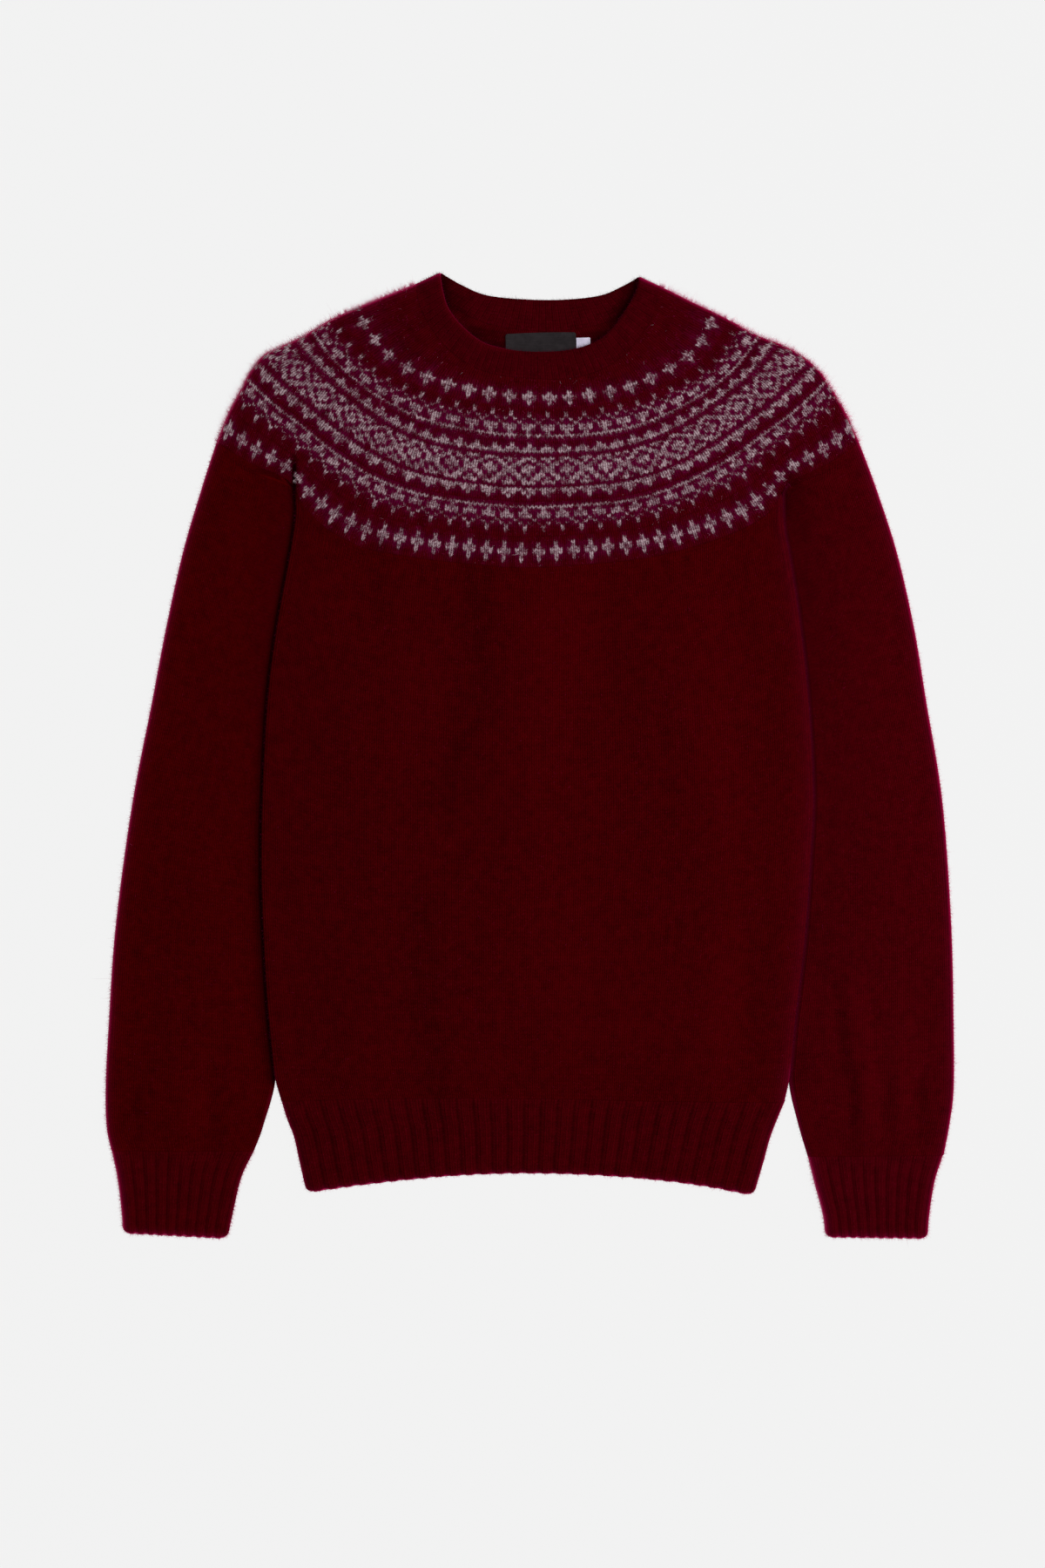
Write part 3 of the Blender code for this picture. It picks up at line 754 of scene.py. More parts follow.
def make_piece(kind, part, weave, material, area):
    """Finish one knitted piece. Its flat size is in metres, and its area, in square millimetres, is not used.
    """
    name = kind + "_" + part
    piece = PIECES[part] = add_object(name, weave.mesh(name), material)
    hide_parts(part.replace("hem", "hem_rib"))


def at_points(faces):
    """Values of the faces of a closed grid, averaged at its points."""
    wide = (faces + np.roll(faces, 1, 1)) / 2
    tall = np.concatenate([wide[:1], wide, wide[-1:]])
    return (tall[1:] + tall[:-1]) / 2


def blurred(marks, across, along):
    """Spread the marks of a closed grid over so many columns and rows."""
    for _ in range(2):
        marks = sum(np.roll(marks, k, 1) for k in range(-across, across + 1)) / (2 * across + 1)
        tall = np.pad(marks, ((along, along), (0, 0)), "edge")
        marks = sum(tall[k:k + len(marks)] for k in range(2 * along + 1)) / (2 * along + 1)
    return marks


# Materials ------------------------------------------------------------------------------------

def operation(kind, swapped=False):
    """A method that makes a math node of a value and the others it is given."""
    return lambda self, *others: self.nodes.math(kind, *((*others, self) if swapped else (self, *others)))


class Value:
    """What comes out of a node. Sums of values make their own nodes."""

    def __init__(self, nodes, socket):
        self.nodes, self.socket = nodes, socket

    __add__ = __radd__ = operation("ADD")
    __mul__ = __rmul__ = operation("MULTIPLY")
    __sub__, __rsub__ = operation("SUBTRACT"), operation("SUBTRACT", True)
    __truediv__, __pow__, __abs__ = operation("DIVIDE"), operation("POWER"), operation("ABSOLUTE")
    sine, fract, floor = operation("SINE"), operation("FRACT"), operation("FLOOR")
    at_least, at_most = operation("MAXIMUM"), operation("MINIMUM")

    def ramp(self, low, high):
        """0 at low and 1 at high, smoothly."""
        inputs = {0: self, 1: low, 2: high}
        return self.nodes.put("ShaderNodeMapRange", inputs, interpolation_type="SMOOTHSTEP")


class Nodes:
    """Short calls for building a material's nodes."""

    def __init__(self, name):
        self.material = bpy.data.materials.new(name)
        self.material.use_nodes = True
        self.tree = self.material.node_tree
        self.shader = self.tree.nodes["Principled BSDF"]

    def wire(self, value, socket):
        if isinstance(value, Value):
            self.tree.links.new(value.socket, socket)
        else:
            socket.default_value = (*value, 1.0) if isinstance(value, tuple) else value

    def put(self, kind, inputs, output=0, **settings):
        """One output of a new node."""
        node = self.tree.nodes.new(kind)
        for name, value in settings.items():
            setattr(node, name, value)
        for key, value in inputs.items():
            self.wire(value, node.inputs[key])
        return Value(self, node.outputs[output])

    def math(self, kind, *values):
        return self.put("ShaderNodeMath", dict(enumerate(values)), operation=kind)

    def mix(self, share, a, b):
        return self.put("ShaderNodeMix", {0: share, 6: a, 7: b}, 2, data_type="RGBA")

    def vector(self, x, y):
        return self.put("ShaderNodeCombineXYZ", {0: x, 1: y})

    def split(self, vector):
        """The first two parts of a vector."""
        first = self.put("ShaderNodeSeparateXYZ", {0: vector})
        return first, Value(self, first.socket.node.outputs[1])

    def place(self):
        return self.put("ShaderNodeTexCoord", {}, "Object")

    def noise(self, vector, scale, detail, rough):
        return self.put("ShaderNodeTexNoise",
                        {"Vector": vector, "Scale": scale, "Detail": detail, "Roughness": rough})

    def mark(self, name):
        """One of the marks that the piece keeps at its points."""
        return self.put("ShaderNodeAttribute", {}, "Fac", attribute_name=name)

    def bump(self, height, distance, strength):
        return self.put("ShaderNodeBump", {"Height": height, "Distance": distance, "Strength": strength})

    def finish(self, **inputs):
        """Give the shader its inputs, and return the material."""
        for name, value in inputs.items():
            self.wire(value, self.shader.inputs[name.replace("_", " ")])
        return self.material


# The wool's dark and bright tones; darkened further, the dark one is also the painted shade in rib grooves
# and between pieces
DEEP = (0.021, 0.0002, 0.0003)
BRIGHT = (0.061, 0.0004, 0.0011)
NEAR_DEEP = (0.034, 0.0004, 0.007)  # among the pattern, where loose magenta fibres lie thicker
NEAR_BRIGHT = (0.100, 0.0012, 0.028)
ROSE = (0.290, 0.0025, 0.044)  # fuzz at the turned edges: partly its own magenta, partly light painted into the colour
HALO = (0.560, 0.060, 0.180)  # and at their very rim: light painted into the colour, as where light comes through it
PALE = (0.475, 0.356, 0.385)
PALE_DEEP = (0.060, 0.012, 0.028)

# Noises: scale, detail and roughness. The first two lie on the knit map, the slubs across the
# weave of a ribbon, and the others in space.
HAIRS = 1.6, 4.0, 0.65
STREAKS = 1.0, 2.0, 0.5
FLUFF = 900.0, 3.0, 0.6
MOTTLE = 125.0, 3.0, 0.7
CLOUD = 14.0, 3.0, 0.55
NEAR_CLOUD = 260.0, 2.0, 0.6
CROSSING = 500.0, 2.0, 0.6
SLUBS = 1.0, 3.0, 0.6
RIBBON_CLOUD = 160.0, 3.0, 0.5

# Where each of these tones sets in and where it is full
TONE_AND_SHADE_RANGE = 0.75, 1.78
NEAR_RANGE = 0.0, 0.4
GROOVE_RANGE = 0.5, 1.0
FLUFF_RANGE = 0.56, 0.78
ROSE_RANGE, HALO_RANGE = (0.0, 0.9), (0.65, 1.35)
OPEN_RANGE = -0.9, -0.1
GREY_RANGE = 0.75, 1.95
RAGGED_RANGE = 1.09, 1.59
CROSSING_RANGE = 0.50, 0.62
RIBBON_RANGE = 0.3, 0.7


def darker(tone, times):
    return tuple(part / times for part in tone)


def wool(name, patterned=False, rib=None, rib_shade=0.0, rib_from=0.0, bright=1.0, blue=1.0):
    """Brushed woollen knitting: V stitches by the knit map, stray fibres and cloudy colour, with light and
    shade painted into the colour between the stitch legs, at the edges and in broad bands.

    A ribbed one has its ribs so many wales apart, with shade painted into the grooves between them,
    which sets in over its first rib_from courses.
    """
    n = Nodes(name)
    wale, course = n.split(n.put("ShaderNodeUVMap", {}, uv_map="knit"))
    place, nap, glow = n.place(), n.mark("nap"), n.mark("glow")

    # The yarn: legs of the stitches, twisted plies, hairs along it and fluff all over
    across = ((wale * 2.0).fract() * math.pi).sine() ** 0.7
    along = (course.fract() * math.pi).sine() ** 0.45
    leg = across * (along * 0.6 + 0.4)
    plies = (course * (4 * math.pi) + wale * 14.0).sine()
    hairs = n.noise(n.vector(wale * 7.0, course * 2.2), *HAIRS)
    fluff = n.noise(place, *FLUFF)
    number = n.vector(wale.floor(), course.floor())
    stitch = n.put("ShaderNodeTexWhiteNoise", {0: number}, noise_dimensions="2D")

    # Its tone, which also differs by stitch, in patches and in streaks along the courses, with painted
    # # shade in the grooves between the stitch legs and the painted light and shade of the broad bands
    cloud = n.noise(place, *CLOUD)
    mottle = n.noise(place, *MOTTLE)
    streak = n.noise(n.vector(wale * 0.45, course * 0.03), *STREAKS)
    tone_and_shade = leg * 0.5 + hairs * 0.5 + fluff * 0.25 + stitch * 0.15
    tone_and_shade = (tone_and_shade + cloud * 0.12 + mottle * 0.85 + streak * 0.14 + nap * 0.15).ramp(*TONE_AND_SHADE_RANGE)
    tints = bright, bright, bright * blue
    colour = n.mix(tone_and_shade, *(tuple(part * tint for part, tint in zip(tone, tints)) for tone in (DEEP, BRIGHT)))
    if patterned:
        near = (n.mark("near") * (n.noise(place, *NEAR_CLOUD) * 2.0 - 0.1)).ramp(*NEAR_RANGE)
        colour = n.mix(near, colour, n.mix(tone_and_shade, NEAR_DEEP, NEAR_BRIGHT))
    if rib:
        shade = abs((wale / rib).fract() * 2.0 - 1.0).ramp(*GROOVE_RANGE) * rib_shade
        if rib_from:
            shade = shade * course.ramp(0.0, rib_from)
        colour = n.mix(shade, colour, darker(DEEP, 3))
    colour = n.mix(fluff.ramp(*FLUFF_RANGE) * 0.16, colour, ROSE)

    # The edges, where light is painted into the colour, partly as the fuzz's own magenta, and painted
    # # shade between two pieces, where hardly any light comes; the strongest painted light and shade of
    # # the broad bands joins in here
    edge_light = (glow + (nap * 0.3 - 0.9).at_least(0.0)) * (hairs * 0.8 + 0.5)
    colour = n.mix(edge_light.ramp(*ROSE_RANGE) * 0.85, colour, ROSE)
    colour = n.mix(edge_light.ramp(*HALO_RANGE), colour, HALO)
    open_share = (glow + (nap * 0.3 + 0.9).at_most(0.0)).ramp(*OPEN_RANGE)
    colour = n.mix(1.0 - open_share, colour, darker(DEEP, 5))

    # The pale yarn, ragged at its borders and crossed by fibres, with painted shade between its stitch legs
    if patterned:
        grey = n.mix((leg * 0.7 + hairs * 1.3 + stitch * 0.5).ramp(*GREY_RANGE), PALE_DEEP, PALE)
        ragged = (n.mark("pale") + hairs + fluff * 0.7).ramp(*RAGGED_RANGE)
        crossed = n.noise(place, *CROSSING).ramp(*CROSSING_RANGE) * 0.82
        colour = n.mix(ragged * (1.0 - crossed), colour, grey)
    height = n.bump(leg + plies * 0.05 + hairs * 0.55 + fluff * 0.3, 0.00045, 0.8)
    return n.finish(Base_Color=colour, Roughness=0.95, Normal=height, Specular_IOR_Level=0.0,
                    Sheen_Weight=0.15, Sheen_Roughness=0.45, Sheen_Tint=(0.5, 0.002, 0.02))


def fibre(name):
    """Loose wool fibres, each with its own tone, from the cloth's through magenta to pale."""
    n = Nodes(name)
    colour = (0.05, 0.0008, 0.002)
    for low, high, tone in ((0.0, 0.4, (0.38, 0.009, 0.10)), (0.4, 0.7, (0.78, 0.12, 0.30)),
                            (0.7, 1.0, (0.76, 0.60, 0.67))):
        colour = n.mix(n.mark("tone").ramp(low, high), colour, tone)
    return n.finish(Base_Color=colour, Roughness=1.0, Specular_IOR_Level=0.0)


def ribbon(name, dark, light, threads):
    """Woven ribbon: warp threads crossed by a finer weft, so many threads to a metre, a little worn."""
    n = Nodes(name)
    place = n.place()
    x, y = n.split(place)
    weave = (x * (threads * 2 * math.pi)).sine() * (y * (threads * 2.6 * math.pi)).sine()
    slub = n.noise(n.vector(x * 90.0, y * 1400.0), *SLUBS)
    cloud = n.noise(place, *RIBBON_CLOUD)
    worn = weave * 0.25 + slub.ramp(*RIBBON_RANGE) * 0.4 + cloud.ramp(*RIBBON_RANGE) * 0.6
    colour = n.mix(worn, dark, light)
    return n.finish(Base_Color=colour, Roughness=0.75, Normal=n.bump(slub * 0.8 + weave, 0.00006, 0.7),
                    Specular_IOR_Level=0.06, Sheen_Weight=0.05)


# The garment ----------------------------------------------------------------------------------

def yoke_rows(course, u):
    """Share of the way down the yoke of a course, which differs from middle to shoulder."""
    courses, middle, shoulder = np.array(YOKE_ROWS).T
    level = smooth_step((0.5 - np.abs(u - 0.5) - SHOULDER_FROM) / (SHOULDER_TO - SHOULDER_FROM))
    shoulder = np.interp(course, courses, shoulder)
    return shoulder + (np.interp(course, courses, middle) - shoulder) * level


def chart_tones(band, wale, course, rng):
    """How pale each face is: its stitch is looked up in the band's chart, and no two are quite alike."""
    _, _, _, first, centre, column, chart = band
    tones = np.array([[CHART_TONE[mark] for mark in line] for line in chart])
    line = np.floor(course - first).astype(int)
    stitch = np.floor(wale).astype(int)
    known = (line >= 0) & (line < len(chart))
    line = np.clip(line, 0, len(chart) - 1)
    picked = tones[line][:, (stitch - centre + column) % tones.shape[1]]
    by_stitch = 1 - STITCH_WEAR * rng.random((len(chart), np.ptp(stitch) + 1)) ** 2
    by_face = 1 - FACE_WEAR * rng.random(picked.shape) ** 2
    return picked * by_stitch[line][:, stitch - stitch.min()] * by_face * known[:, None]


# Tone and reach of the shading painted by the front edge of the neck: a painted shadow behind it,
# and a painted highlight on the neckband, which comes in over a part of the width
INSIDE_SHADOW = -4.8, 6.5
BAND_LIGHT = 4.2, 1.8
BAND_LIGHT_FROM, BAND_LIGHT_OVER = -5, 15


def near_neck(points, tone, reach):
    """Tone of the painted light and shade by its distance in plan from the front edge of the neck."""
    edge = smooth_curve(NECK_FRONT)(np.linspace(0, 1, 200))
    away = np.linalg.norm(points[..., None, :2] - edge, axis=-1).min(-1)
    return tone * np.exp(-(away / reach) ** 2)


def inside_shade(points):
    """Painted shadow inside the neck, beside the front edge that lies over it."""
    return near_neck(points, *INSIDE_SHADOW)


def outside_highlight(points):
    """A painted highlight: a light line on the right half of the neckband's front edge, the half that faces
    the lamp.
    """
    return near_neck(points, *BAND_LIGHT) * smooth_step((BAND_LIGHT_FROM - points[..., 0]) / BAND_LIGHT_OVER)


def make_yoke():
    """The yoke: a strip with its own stitch count for each band of the pattern, joined to one ring."""
    shoulders = [lambda v, line=smooth_curve(points): line(v + SHOULDER_LEAD * v * (1 - v) ** 2)
                 for points in (SHOULDER_RIGHT, SHOULDER_LEFT)]
    arm_right, arm_left = smooth_curve(ARM_RIGHT), smooth_curve(ARM_LEFT)
    courses = YOKE_ROWS[-1][0]
    plans = []
    for head, foot in ((BAND_FRONT, YOKE_FRONT), (BAND_BACK, YOKE_BACK)):
        plain = yoke_plan(smooth_curve(head), join(arm_right, smooth_curve(foot), arm_left), shoulders)
        plans.append(lambda u, r, plain=plain: plain(u, yoke_rows(r * courses, u)))
    weave, lines = Weave(), []
    rng = np.random.default_rng(5)
    for band in BANDS:
        start, stop, stitches, first = band[:4]
        strips = [squared(plan, (first + len(band[-1]) / 2) / courses) for plan in plans]
        rows = Rows(stop - start, 2, glow=(2.0, 1.3))
        rows.course = rows.course + start
        rows.v = rows.course / courses
        columns = knit_columns(stitches), knit_columns(stitches - 4 * TURN_STITCHES, 1, 0.0)
        middles = [(line[1:] + line[:-1]) / 2 for line in (ring_wale(*columns), rows.course)]
        pale = at_points(chart_tones(band, *middles, rng))
        edges = add_face(weave, both_walls(strip[0] for strip in strips), rows, *columns, pale=pale,
                         near=blurred(pale, LEG_COLUMNS, 3), **edge_marks(rows, *columns))
        for (ring, _, uv), v in zip(edges, rows.v[[0, -1]]):
            places = [line.place + strip[1](line.share, v) for line, strip in zip(columns, strips)]
            lines.append((ring, ring_place(*places), uv))
    lines += add_face(weave, both_walls(plans), Rows(courses, 0.5), plain_columns(64), plain_columns(64),
                      inner=True, shade=inside_shade)
    head, *joints, foot, inner_head, inner_foot = lines
    for pair in (*zip(joints[::2], joints[1::2]), (head, inner_head), (foot, inner_foot)):
        weave.bridge(*pair)
    make_piece("knitted", "yoke", weave, wool("patterned_wool", patterned=True, blue=2.0),
               sum(map(plan_area, plans)))


def make_band():
    """The neckband. The inner face of its back shows in the neck, so there the ribs are inside."""
    ends = [by_length(np.array([NECK_FRONT[k], BAND_FRONT[k]], float)) for k in (0, -1)]
    plans = [patch(smooth_curve(neck), smooth_curve(band), *ends)
             for neck, band in ((NECK_FRONT, BAND_FRONT), (NECK_BACK, BAND_BACK))]
    rows = Rows(BAND_COURSES, 1, BAND_LENGTH, head_rim=BAND_WALL / 2, rim_glow=0.15, glow=(1.5, 1.6))
    front, back, plain_back = (rib_columns(ribs, SLIM_RIB, BAND_RIB_WALES, rise) for ribs, rise in (
        (BAND_RIBS_FRONT, BAND_RIB_RISE), (BAND_RIBS_BACK, BAND_RIB_RISE), (BAND_RIBS_BACK, 0.0)))
    weave = tube(both_walls(plans, wall=BAND_WALL, foot_wall=WALL), rows, (front, plain_back),
                 rows, (plain_columns(60, 6), back), shades=(outside_highlight, inside_shade))
    material = wool("neckband_wool", rib=BAND_RIB_WALES, rib_shade=0.12, blue=2.4)
    make_piece("ribbed", "neckband", weave, material, sum(map(plan_area, plans)))


def make_body():
    """The front, which lies on the back, each with its hem. Only the front has its stitches raised."""
    material = wool("burgundy_wool")
    ribbed = wool("ribbed_wool", rib=RIB_WALES, rib_shade=0.28, rib_from=RIB_FADE, blue=1.7)
    sides = smooth_curve(BODY_RIGHT), smooth_curve(BODY_LEFT)
    rib_top = smooth_curve(RIB_TOP)
    hem = patch(rib_top, smooth_curve(HEM_FOOT), smooth_curve(HEM_RIGHT), smooth_curve(HEM_LEFT))
    for word, head, upper, per_course, columns in (
            ("front", YOKE_FRONT, True, 1, knit_columns(BODY_STITCHES)),
            ("back", YOKE_BACK, False, 0.5, knit_columns(BODY_STITCHES, 1, 0.0))):
        plan = patch(smooth_curve(head), rib_top, *sides)
        # Painted shade along the right side (-X), where the sleeve lies beside the body, and painted light at
        # the front's other edges
        rows = Rows(BODY_COURSES, per_course, glow=(-0.8, 0.11 * upper), wide=(0.0, 0.13 * upper),
                    glow_below=(0.4 * upper, 0.6 * upper), change=BESIDE_BODY)
        weave = half(Wall(plan, upper, split=SPLIT, tuck=(TUCK, TUCK)), rows, columns,
                     Rows(BODY_COURSES, PLAIN_ROWS), plain_columns(40))
        make_piece("knitted", "body_" + word, weave, material, plan_area(plan))
        rows = Rows(HEM_COURSES, 1, RIB_LENGTH, foot_rim=WALL / 2, rim_glow=2.2 * upper, rise_over=RIB_FADE,
                    glow=(1.0 * upper, 0.8 * upper), wide=(0.02, 0.05), rib_tone=0.35)
        weave = half(Wall(hem, upper, split=SPLIT, round_foot=True), rows,
                     rib_columns(HEM_RIBS, BROAD_RIB, RIB_WALES, RIB_RISE * upper),
                     Rows(HEM_COURSES, PLAIN_RIB_ROWS, RIB_LENGTH, foot_rim=WALL / 2), plain_columns(40))
        make_piece("ribbed", "hem_" + word, weave, ribbed, plan_area(hem))


def crowding(plan, outer_first):
    """Stitches keep their width at the outer edge, and are closer and flatter at the inner one."""

    def crowd(v, share):
        width = np.linalg.norm(plan(np.ones_like(v), v) - plan(np.zeros_like(v), v), axis=-1)
        extra = np.clip(SLEEVE_STITCHES * STITCH / width - 1, 0, 0.8)
        run = share if outer_first else 1 - share
        flatter = 1 - extra * np.clip(run, 0, 1) ** 2
        run = extra * (1 - (1 - run) ** 2) + (1 - extra) * run
        return run if outer_first else 1 - run, flatter

    return crowd


def make_sleeve(side, look):
    """One sleeve and its cuff."""
    outer_first = side == "right"
    gap, tuck = (-SIDE_GAP, (0, -TUCK)) if outer_first else (SIDE_GAP, (-TUCK, 0))
    beside = smooth_curve(look["body"])(np.linspace(0, BESIDE_BODY, 200)) + (gap, 0)
    below = smooth_curve([beside[-20], beside[-1], *look["wrist"]])(np.linspace(0, 1, 200))
    inner = by_length(np.vstack([[look["armpit"]], beside, below[below[:, 1] < beside[-1, 1]]]))
    plan = tube_patch(smooth_curve(look["outer"]), inner, outer_first, smooth_curve(look["arm"]))
    weave = tube(both_walls((plan, plan), tuck=tuck, fade=SLEEVE_FADE),
                 Rows(SLEEVE_COURSES, change=SLEEVE_BESIDE + GLOW_CHANGE, **look["sleeve_glow"]),
                 (knit_columns(SLEEVE_STITCHES), plain_columns(SLEEVE_STITCHES - 4)),
                 Rows(SLEEVE_COURSES, PLAIN_ROWS), (plain_columns(16), plain_columns(16)),
                 crowding(plan, outer_first))
    # The sleeve and its cuff get their own wool for each side, bluer on the left one, towards the lamp at +X,
    # as painted light
    make_piece("knitted", "sleeve_" + side, weave, wool("sleeve_wool_" + side, **look["sleeve_tone"]),
               2 * plan_area(plan))

    edges = (smooth_curve([row[k:k + 2] for row in look["cuff"]]) for k in (0, 2))
    plan = tube_patch(*edges, outer_first)
    weave = tube(both_walls((plan, plan), round_foot=True),
                 Rows(CUFF_COURSES, 1, RIB_LENGTH, foot_rim=WALL / 2, rim_glow=3.2, rise_over=RIB_FADE,
                      rib_tone=0.8, wide=(0.04, 0.04), glow=look["cuff_glow"]),
                 (rib_columns(CUFF_RIBS, BROAD_RIB, RIB_WALES, RIB_RISE), plain_columns(30)),
                 Rows(CUFF_COURSES, PLAIN_RIB_ROWS, RIB_LENGTH, foot_rim=WALL / 2),
                 (plain_columns(14), plain_columns(14)))
    ribbed = wool("cuff_wool_" + side, rib=RIB_WALES, rib_shade=0.27, rib_from=RIB_FADE, **look["cuff_tone"])
    make_piece("ribbed", "cuff_" + side, weave, ribbed, 2 * plan_area(plan))


# Woven slips ----------------------------------------------------------------------------------

def slip_plan(slip, along_x, along_y):
    """Place of a slip's points, from their places across and along it from -1 to 1."""
    half_width, half_depth, corner = slip["width"] / 2, slip["depth"] / 2, slip["corner"]
    x = along_x * half_width
    into_corner = np.clip(np.abs(x) - half_width + corner, 0, corner)
    y = along_y * (half_depth - corner + np.sqrt(corner ** 2 - into_corner ** 2))
    y = y + slip["bow"] * (1 - along_x ** 2)
    cos, sin = math.cos(SLIP_TILT), math.sin(SLIP_TILT)
    return slip["centre"][0] + x * cos - y * sin, slip["centre"][1] + x * sin + y * cos


def slip_height(slip, along_x):
    """Height of a slip's top: its ends are folded under, so they stand a little higher."""
    from_end = (1 - np.abs(along_x)) * slip["width"] / 2
    folded = np.clip((slip["hem"] - from_end) / 0.5, 0, 1)
    return WALL + SLIP_LIFT + slip["thick"] * (1 + 0.3 * folded)


def make_slip(name, slip, material, node):
    """A woven slip with folded ends, and the stitches that hold it."""
    a, b = np.meshgrid(np.sin(np.linspace(-1, 1, 61) * math.pi / 2), np.linspace(-1, 1, 25))
    wavy = SLIP_WAVE * np.sin(a * 9) * np.cos(b * 3)
    points = np.dstack([*slip_plan(slip, a, b), slip_height(slip, a) + wavy]).reshape(-1, 3) * MM
    index = np.arange(a.size).reshape(a.shape)
    faces = np.stack([index[:-1, :-1], index[:-1, 1:], index[1:, 1:], index[1:, :-1]], -1).reshape(-1, 4)
    mesh = fill_mesh(name, points, faces)
    mesh.shade_smooth()
    piece = add_object(name, mesh, material)
    thick = piece.modifiers.new("cloth", "SOLIDIFY")
    thick.thickness = slip["thick"] * MM
    thick.offset = -1
    soft = piece.modifiers.new("edges", "BEVEL")
    soft.width = 0.1 * MM
    soft.segments = 2
    soft.limit_method = "ANGLE"
    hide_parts(node)

    body = bmesh.new()
    end, head = (1 - STITCH_INSET / (slip[size] / 2) for size in ("width", "depth"))
    beside = np.linspace(-0.8, 0.8, max(3, slip["stitches"] // 3))
    spots = [(side * end, spot, 90) for side in (-1, 1) for spot in beside]
    spots += [(spot, head, 0) for spot in np.linspace(-0.93, 0.93, slip["stitches"])]
    for a, b, turned in spots:
        place = Matrix.Translation(Vector((*slip_plan(slip, a, b), slip_height(slip, a))) * MM)
        turn = Matrix.Rotation(SLIP_TILT + math.radians(turned + STITCH_SKEW), 4, "Z")
        shape = Matrix.Diagonal((*(half * MM for half in STITCH_HALVES), 1))
        bmesh.ops.create_uvsphere(body, u_segments=10, v_segments=6, radius=1.0, matrix=place @ turn @ shape)
    thread = bpy.data.meshes.new(name + "_stitches")
    body.to_mesh(thread)
    body.free()
    thread.shade_smooth()
    add_object(name + "_stitches", thread, material)


# Loose fibres ---------------------------------------------------------------------------------

THIRDS = [(math.cos(2 * math.pi * k / 3), math.sin(2 * math.pi * k / 3)) for k in range(3)]
# How far a fibre's root, way, bend and side are scattered in plan, and the share of it upwards
SCATTER = {"root": (0.5, 0.1), "way": (1, 0.45), "bend": (1, 0.4), "side": (1, 1)}
PALE_TONE = 0.75, 1.0
PALE_PICK = 0.6  # how many more of the fibres are pale on pale yarn
FLOOR_CLEAR = 0.15  # least height of a fibre


def facing(sign, turned=0.3):
    """Weigh the faces of a turned edge that look to one side."""
    return lambda height, normal, marks: (marks["turn"] > turned) & (sign * normal[:, 0] > 0.15)


# Where fibres stand: each rule weighs a piece's faces by height, normal and marks
FUZZ_PLACES = {
    "edge": lambda height, normal, marks: marks["turn"] > 0.3,
    "right_edge": facing(-1),
    "left_edge": facing(1),
    "right_gap": facing(-1, 0.6),
    "left_gap": facing(1, 0.6),
    "top": lambda height, normal, marks: normal[:, 2] > 0.5,
    "pattern": lambda height, normal, marks: (normal[:, 2] > 0.3) * (0.3 + marks["pale"]) * (height > 4),
}
# Their tones: lowest, highest and, where some are pale, the share of those on dark yarn. Those at
# # the outline, rim and mixed, are toned far lighter than those on the cloth, as painted light where
# # light catches the fuzz; the pale ones from the pale yarn are its own
FUZZ_TONES = {
    "rim": (0.45, 0.78),
    "mixed": (0.45, 0.75, 0.12),
    "dusk": (0.02, 0.16),
    "cloth": (0.0, 0.35),
    "pattern": (0.2, 0.5, 0.05),
}

# Piece, place, tone, count, length, radius, outward pull, bent
FUZZ = [
    ("yoke", "edge", "mixed", 14000, 2.9, 0.05, 1.8, False),
    ("yoke", "pattern", "pattern", 12000, 2.2, 0.05, 0.3, True),
    ("sleeve_right", "right_edge", "rim", 8500, 1.7, 0.05, 1.8, False),
    ("sleeve_left", "left_edge", "rim", 8500, 1.6, 0.05, 1.8, False),
    ("sleeve_right", "left_gap", "cloth", 2500, 1.2, 0.06, 1.5, False),
    ("sleeve_left", "right_gap", "cloth", 2500, 1.2, 0.06, 1.5, False),
    ("body_front", "right_gap", "cloth", 2500, 1.2, 0.06, 1.5, False),
    ("body_front", "left_gap", "cloth", 2500, 1.2, 0.06, 1.5, False),
    ("cuff_right", "edge", "rim", 3500, 1.5, 0.05, 1.6, False),
    ("cuff_left", "edge", "rim", 3500, 1.5, 0.05, 1.6, False),
    ("hem_front", "edge", "rim", 6000, 1.1, 0.05, 1.6, False),
    ("neckband", "edge", "dusk", 3500, 1.3, 0.05, 1.2, False),
    ("body_front", "top", "cloth", 4000, 2.0, 0.045, 0.35, False),
    ("sleeve_right", "top", "cloth", 2000, 2.0, 0.045, 0.35, False),
    ("sleeve_left", "top", "cloth", 2000, 2.0, 0.045, 0.35, False),
]


def fibre_tones(rng, pale, low, high, pale_share=None):
    if pale_share is None:
        return rng.uniform(low, high, len(pale))
    picked = rng.uniform(0, 1, len(pale)) < pale_share + PALE_PICK * pale
    return np.where(picked, rng.uniform(*PALE_TONE, len(pale)), rng.uniform(low, high, len(pale)))


def read(items, name, size=1, kind=float):
    """One value, or several, of each of a mesh's items."""
    values = np.empty(len(items) * size, kind)
    items.foreach_get(name, values)
    return values.reshape(-1, size) if size > 1 else values


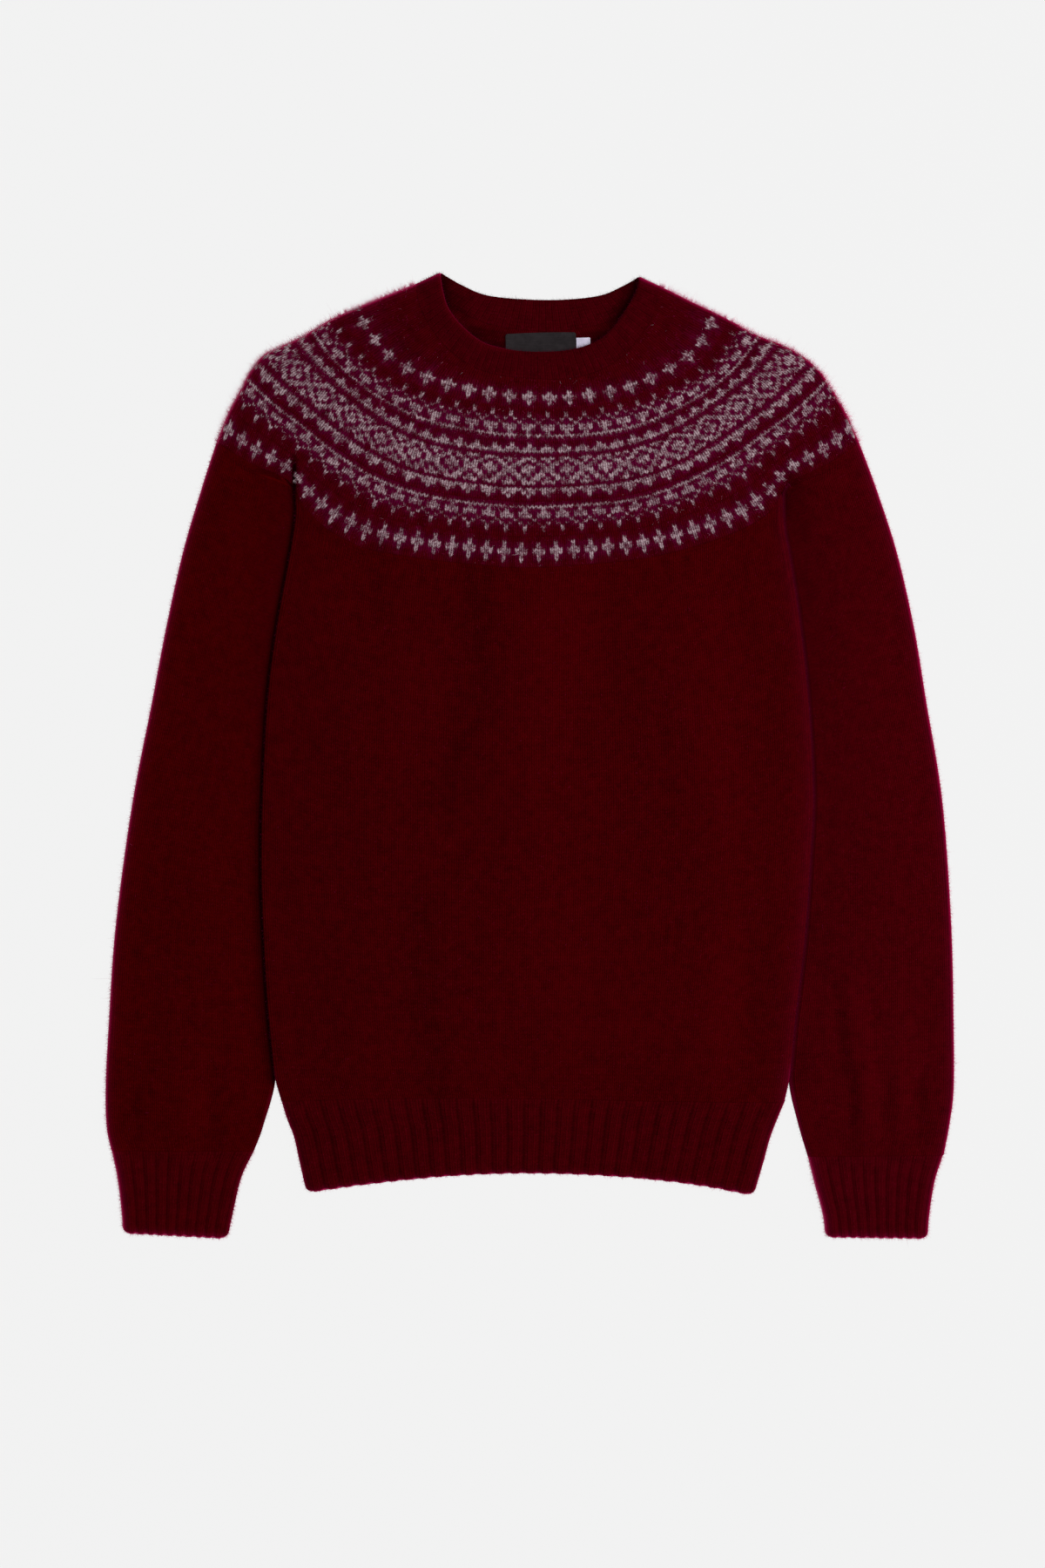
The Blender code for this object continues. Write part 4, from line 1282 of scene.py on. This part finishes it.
def add_fuzz(name, piece, choose, tone, count, length, radius, outward, bent, material, seed):
    """Loose fibres on a piece. A bent one has a joint on its way, and a straight one is a long spike."""
    mesh = piece.data
    centre, normal = read(mesh.polygons, "center", 3) / MM, read(mesh.polygons, "normal", 3)
    vertex = read(mesh.loops, "vertex_index", kind=np.int32)[read(mesh.polygons, "loop_start", kind=np.int32)]
    marks = {mark: read(mesh.attributes[mark].data, "value")[vertex] for mark in ("pale", "turn")}
    weight = read(mesh.polygons, "area") * choose(centre[:, 2], normal, marks)
    rng = np.random.default_rng(seed)

    def scatter(kind):
        spread, upward = SCATTER[kind]
        return rng.normal(0, spread, (count, 3)) * (1, 1, upward)

    def unit(vectors):
        return vectors / np.linalg.norm(vectors, axis=1, keepdims=True)

    pick = rng.choice(len(weight), count, p=weight / weight.sum())
    root = centre[pick] + scatter("root")
    way = unit(normal[pick] * outward + scatter("way"))
    bend = scatter("bend")
    reach = length * rng.lognormal(0, 0.35, count)[:, None]
    side = unit(np.cross(way, scatter("side")))
    other = np.cross(way, side)
    girth = radius * rng.uniform(0.7, 1.3, count)[:, None]
    spine = [root - 0.25 * normal[pick], root + reach * (0.5 * way + 0.08 * bend),
             root + reach * (0.9 * way + 0.3 * bend)]
    for spot in spine:
        spot[:, 2] = np.maximum(spot[:, 2], FLOOR_CLEAR)
    points = [spot + girth * scale * (c * side + d * other)
              for spot, scale in zip(spine, (1.0, 0.8) if bent else (1.0,)) for c, d in THIRDS]
    points = np.stack(points + [spine[2]], 1) * MM
    size = points.shape[1]
    base, top = np.arange(count)[:, None] * size, size - 4
    tris = [(0, 2, 1)] + [(top + k, top + (k + 1) % 3, top + 3) for k in range(3)]
    quads = [(k, (k + 1) % 3, (k + 1) % 3 + 3, k + 3) for k in range(3)] if bent else []
    hair = fill_mesh(name, points.reshape(-1, 3), *(
        np.concatenate([base + face for face in faces]) if faces else faces for faces in (quads, tris)))
    tones = np.tile(fibre_tones(rng, marks["pale"][pick], *tone), len(quads + tris))
    hair.attributes.new("tone", "FLOAT", "FACE").data.foreach_set("value", tones)
    add_object(name, hair, material)


# Light ----------------------------------------------------------------------------------------

# Each lamp's share of the light on the table's middle, and how much of the table's own
# brightness it gives off itself, as a light table does
WORLD_SHARE, TOP_SHARE, KEY_SHARE = 0.22, 0.38, 0.42
TOP_PLACE, KEY_PLACE = (0, 0, 2), (1.5, 0.35, 1.1)
TABLE, TABLE_GLOW = 0.888, 0.985


def add_lamp(name, kind, place, energy):
    """A lamp at a place, in metres, turned to the middle of the garment."""
    lamp = bpy.data.objects.new(name, bpy.data.lights.new(name, kind))
    lamp.data.energy = energy
    lamp.location = place
    lamp.rotation_euler = (-Vector(place)).to_track_quat("-Z", "Y").to_euler()
    bpy.context.scene.collection.objects.link(lamp)
    return lamp


def make_stage():
    """A pale, softly lit table, even light from all round and above, and a wide lamp on the right."""
    scene = bpy.context.scene
    bpy.ops.mesh.primitive_plane_add(size=6.0, location=(0, 0, 0))
    floor = bpy.context.object
    floor.name = "floor"
    floor.data.materials.append(Nodes("pale_table").finish(
        Base_Color=(TABLE * (1 - TABLE_GLOW),) * 3, Roughness=1.0, Specular_IOR_Level=0.0,
        Emission_Color=(1.0, 1.0, 1.0), Emission_Strength=TABLE * TABLE_GLOW))

    scene.world = bpy.data.worlds.new("soft_studio")
    scene.world.use_nodes = True
    background = scene.world.node_tree.nodes["Background"]
    background.inputs[0].default_value = (1, 1, 1, 1)
    background.inputs[1].default_value = WORLD_SHARE
    add_lamp("studio_top", "SUN", TOP_PLACE, TOP_SHARE * math.pi).data.angle = math.radians(40)
    power = KEY_SHARE * math.pi ** 2 * Vector(KEY_PLACE).length ** 3 / KEY_PLACE[2]
    add_lamp("studio_key", "AREA", KEY_PLACE, power).data.size = 1.0

    camera = bpy.data.objects.new("camera", bpy.data.cameras.new("camera"))
    camera.data.lens = 85
    camera.data.sensor_width = 36
    camera.location = (-0.00452, -0.02142, 2.6835)
    scene.collection.objects.link(camera)
    scene.camera = camera
    scene.view_settings.view_transform = "Standard"


make_stage()
make_yoke()
make_band()
make_body()
for side, look in SIDES.items():
    make_sleeve(side, look)
charcoal = ribbon("charcoal_ribbon", (0.012, 0.0095, 0.0105), (0.026, 0.021, 0.023), 1500.0)
make_slip("woven_label", LABEL, charcoal, "neck_label")
white = ribbon("white_ribbon", (0.48, 0.45, 0.56), (0.70, 0.65, 0.80), 1200.0)
make_slip("woven_tag", TAG, white, "size_tag")
strands = fibre("loose_fibre")
for number, (part, place, tone, *settings) in enumerate(FUZZ):
    add_fuzz(f"fuzz_{number:02d}", PIECES[part], FUZZ_PLACES[place], FUZZ_TONES[tone], *settings,
             strands, 11 + number)
